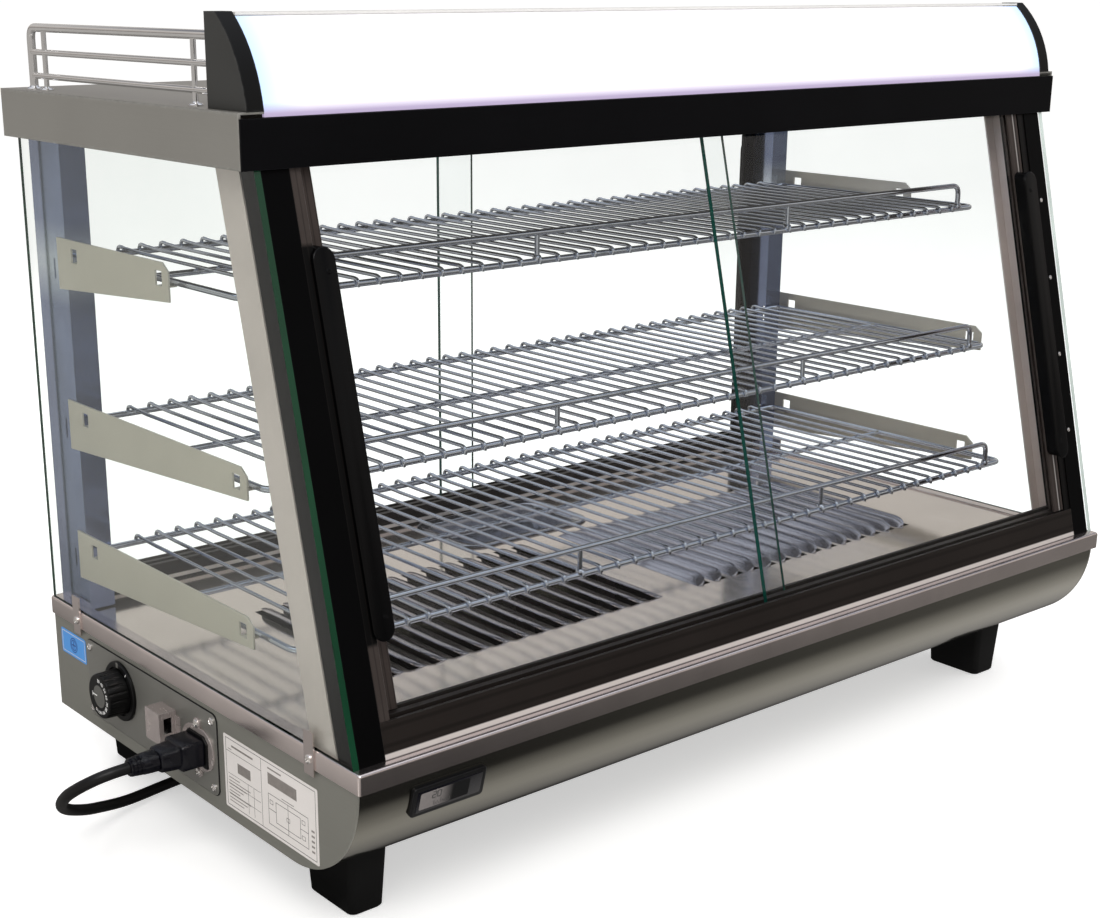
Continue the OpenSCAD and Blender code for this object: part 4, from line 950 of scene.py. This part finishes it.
def segment(u0, w0, u1, w1, wd=0.8):
    d = Vector((u1 - u0, w1 - w0))
    nrm = Vector((-d.y, d.x)).normalized() * wd / 2
    e = d.normalized() * 0.25
    quad = [(u0 + nrm.x + e.x, w0 + nrm.y + e.y), (u0 - e.x * 0.2, w0 - e.y * 0.2), (u0 - nrm.x + e.x, w0 - nrm.y + e.y),
            (u1 - nrm.x - e.x, w1 - nrm.y - e.y), (u1 + e.x * 0.2, w1 + e.y * 0.2), (u1 + nrm.x - e.x, w1 + nrm.y - e.y)]
    meter.add(([(a, b, t) for t in (86.69, 86.82) for a, b in quad], [[5, 4, 3, 2, 1, 0], [6, 7, 8, 9, 10, 11]] + [[i, (i + 1) % 6, 6 + (i + 1) % 6, 6 + i] for i in range(6)]),
              ink, on_nose)


def digit(cu, cw, lit, s=2.1, h=2.6):
    segs = {"a": (-1, 1, 1, 1), "b": (1, 1, 1, 0), "c": (1, 0, 1, -1), "d": (-1, -1, 1, -1), "e": (-1, 0, -1, -1),
            "f": (-1, 1, -1, 0), "g": (-1, 0, 1, 0)}
    for k in lit:
        a, b, c, d = segs[k]
        segment(cu + a * s * 0.72, cw + b * h, cu + c * s * 0.72, cw + d * h)


digit(-13.5, 3.1, "abged")
digit(-9.2, 3.1, "abcdef")
for i, hgt in enumerate((4.6, 2.4, 3.6, 1.8, 5.2, 3.0, 2.0, 4.2, 2.6, 3.4)):
    segment(-13 + 1.5 * i, -6.4, -13 + 1.5 * i, -6.4 + hgt, 0.5)
meter.make("thermometer_display", "case", ("thermometer",), 35, slot="black_plastic")

# ---------------------------------------------------------------- feet and handles
feet = Shell()
for sx in (-372, 372):
    for sy in (-128, 184):
        rows = []
        for z, g in ((0.1, -2.0), (0.6, -0.9), (2.0, 0), (20, 0), (52.5, 0), (53.6, -0.5), (54, -1.2)):
            k = z / 54
            rows.append([(sx + u, sy + v, z) for u, v in rrect(30 + 6 * k + 2 * g, 56 + 6 * k + 2 * g, 5.5, 6)])
        feet.add(loft(rows), rubber)
feet.make("tapered_feet", "case", ("feet",), 40, slot="foot_rubber")


def stadium(w, h, n=12):
    return rrect(w, h, w / 2 - 0.02, n)


for word, side, off, proud in (("left", -1, -1.4, 14.6), ("right", 1, -9.4, 11.6)):
    grip = Shell()
    cx = side * 383
    outer = [(cx + u, 359 + v) for u, v in stadium(13.6, 256)]
    grip.add(plate(outer, off + proud, off + 1, 1.0, 3, both=False), handle_black,
             lambda u, v, t: (u, front_y(v) + t, v))
    cap = [(cx + side * 2.2 + u, 359 + v) for u, v in stadium(17.6, 258)]
    grip.add(plate(cap, off + 2.6, off, 1.1, 5), handle_black, lambda u, v, t: (u, front_y(v) + t, v))
    for z in (246, 472):
        grip.add(pan_head(1.9, 0.6), handle_black, lambda u, v, w,
                 z=z: (cx + u, front_y(z + v) + off + 0.1 - w, z + v))
    grip.make("front_grip_" + word, "front_" + word + "_door", ("front_handle_" + word,), 40,
              slot="black_plastic")

for word, side in (("left", -1), ("right", 1)):
    lo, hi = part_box("rear_handle_" + word)
    lo, hi = lo / MM, hi / MM
    grip = Shell()
    cx = side * 405
    channel = [(cx + u, (lo.y + hi.y - 1.6) / 2 + v) for u, v in rrect(14, hi.y - lo.y - 1.6, 0.7, 3)]
    grip.add(plate(channel, 170, 537, 0.3, 1), jamb_bronze)
    for t0, t1 in ((hi.y - 2.0, hi.y), (lo.y + 0.4, lo.y - 0.9)):
        strip = [(cx + u, 359 + v) for u, v in stadium(13, 258)]
        grip.add(plate(strip, t0, t1, 0.8, 3, both=False), handle_black, lambda u, v, t: (u, t, v))
    grip.make("rear_grip_" + word, "rear_" + word + "_door", ("rear_handle_" + word,), 40,
              slot="black_plastic")

# ---------------------------------------------------------------- floor, light and world
floor_me = bpy.data.meshes.new("floor")
floor_me.from_pydata([(-300, -300, 0), (300, -300, 0), (300, 300, 0), (-300, 300, 0)], [], [[0, 1, 2, 3]])
floor = bpy.data.objects.new("floor", floor_me)
scene.collection.objects.link(floor)
fm = bpy.data.materials.new("floor")
fm.use_nodes = True
nt = fm.node_tree
nt.nodes.clear()
out = nt.nodes.new("ShaderNodeOutputMaterial")
lp = nt.nodes.new("ShaderNodeLightPath")
pos = nt.nodes.new("ShaderNodeNewGeometry")
sep = nt.nodes.new("ShaderNodeSeparateXYZ")
link(nt, pos.outputs["Position"], sep.inputs[0])
dif = nt.nodes.new("ShaderNodeBsdfDiffuse")
dif.inputs[0].default_value = (0.86, 0.86, 0.86, 1)
lift = nt.nodes.new("ShaderNodeEmission")
lift.inputs[0].default_value = (1, 1, 1, 1)
lift.inputs[1].default_value = 0.50
seen = nt.nodes.new("ShaderNodeAddShader")
link(nt, dif.outputs[0], seen.inputs[0])
link(nt, lift.outputs[0], seen.inputs[1])
mirror = nt.nodes.new("ShaderNodeEmission")
front = math_node(nt, "MULTIPLY", remap(nt, sep.outputs[1], -0.235, -0.34, 0.50, 0.025),
                  remap(nt, sep.outputs[1], -0.215, -0.13, 1.0, 0.06))
right = remap(nt, sep.outputs[0], -0.20, 0.65, 0.0, 0.14)
left = remap(nt, sep.outputs[0], -0.42, -0.75, 0.0, 0.42)
far = math_node(nt, "ADD", math_node(nt, "ADD", front, right), left)
link(nt, far, mirror.inputs[1])
mirror.inputs[0].default_value = (1.0, 0.965, 0.93, 1)
pick = nt.nodes.new("ShaderNodeMixShader")
link(nt, math_node(nt, "GREATER_THAN", lp.outputs["Glossy Depth"], 0.5), pick.inputs[0])
link(nt, seen.outputs[0], pick.inputs[1])
link(nt, mirror.outputs[0], pick.inputs[2])
link(nt, pick.outputs[0], out.inputs[0])
floor_me.materials.append(fm)

world = bpy.data.worlds.new("studio")
scene.world = world
world.use_nodes = True
nt = world.node_tree
nt.nodes.clear()
out = nt.nodes.new("ShaderNodeOutputWorld")
even = nt.nodes.new("ShaderNodeBackground")
even.inputs[0].default_value = (1.0, 0.985, 0.97, 1)
even.inputs[1].default_value = 0.62
studio = nt.nodes.new("ShaderNodeBackground")
tc = nt.nodes.new("ShaderNodeTexCoord")
sep = nt.nodes.new("ShaderNodeSeparateXYZ")
link(nt, tc.outputs["Generated"], sep.inputs[0])
ramp = nt.nodes.new("ShaderNodeValToRGB")
link(nt, remap(nt, sep.outputs[2], -1, 1, 0, 1), ramp.inputs[0])
cr = ramp.color_ramp
cr.elements[0].position, cr.elements[0].color = 0.0, (0.10, 0.10, 0.10, 1)
cr.elements[1].position, cr.elements[1].color = 1.0, (0.95, 0.95, 1.0, 1)
for at, c in ((0.49, (0.08, 0.08, 0.08)), (0.52, (0.20, 0.18, 0.17)), (0.57, (0.46, 0.42, 0.395)),
              (0.68, (0.62, 0.60, 0.58)), (0.76, (0.10, 0.11, 0.15)), (0.86, (0.62, 0.66, 0.74))):
    e = cr.elements.new(at)
    e.color = (*c, 1)
link(nt, ramp.outputs[0], studio.inputs[0])
studio.inputs[1].default_value = 1.0
lp = nt.nodes.new("ShaderNodeLightPath")
mix = nt.nodes.new("ShaderNodeMixShader")
link(nt, math_node(nt, "GREATER_THAN", lp.outputs["Glossy Depth"], 0.5), mix.inputs[0])
link(nt, even.outputs[0], mix.inputs[1])
link(nt, studio.outputs[0], mix.inputs[2])
link(nt, mix.outputs[0], out.inputs[0])


def area(name, where, at, sx, sy, power, tint=(1, 1, 1)):
    la = bpy.data.lights.new(name, "AREA")
    la.shape, la.size, la.size_y, la.energy, la.color = "RECTANGLE", sx, sy, power, tint
    ob = bpy.data.objects.new(name, la)
    scene.collection.objects.link(ob)
    ob.location = where
    ob.rotation_euler = (Vector(at) - Vector(where)).to_track_quat("-Z", "Y").to_euler()
    ob.visible_glossy = ob.visible_transmission = False
    return ob


key = area("key", (-1.6, -1.6, 2.3), (0, 0, 0.3), 1.6, 1.2, 34, (1.0, 0.98, 0.95))
key.visible_glossy = True
area("fill", (2.0, -1.2, 1.8), (0, 0, 0.3), 1.4, 1.4, 14, (0.95, 0.97, 1.0))
area("back", (0.6, 2.2, 1.7), (0, 0, 0.35), 1.8, 0.9, 16, (1, 1, 1))
area("lamp", (0, -0.02, 0.532), (0, 0.02, 0), 0.74, 0.14, 0.9, (0.72, 0.80, 1.0))

bpy.context.view_layer.update()
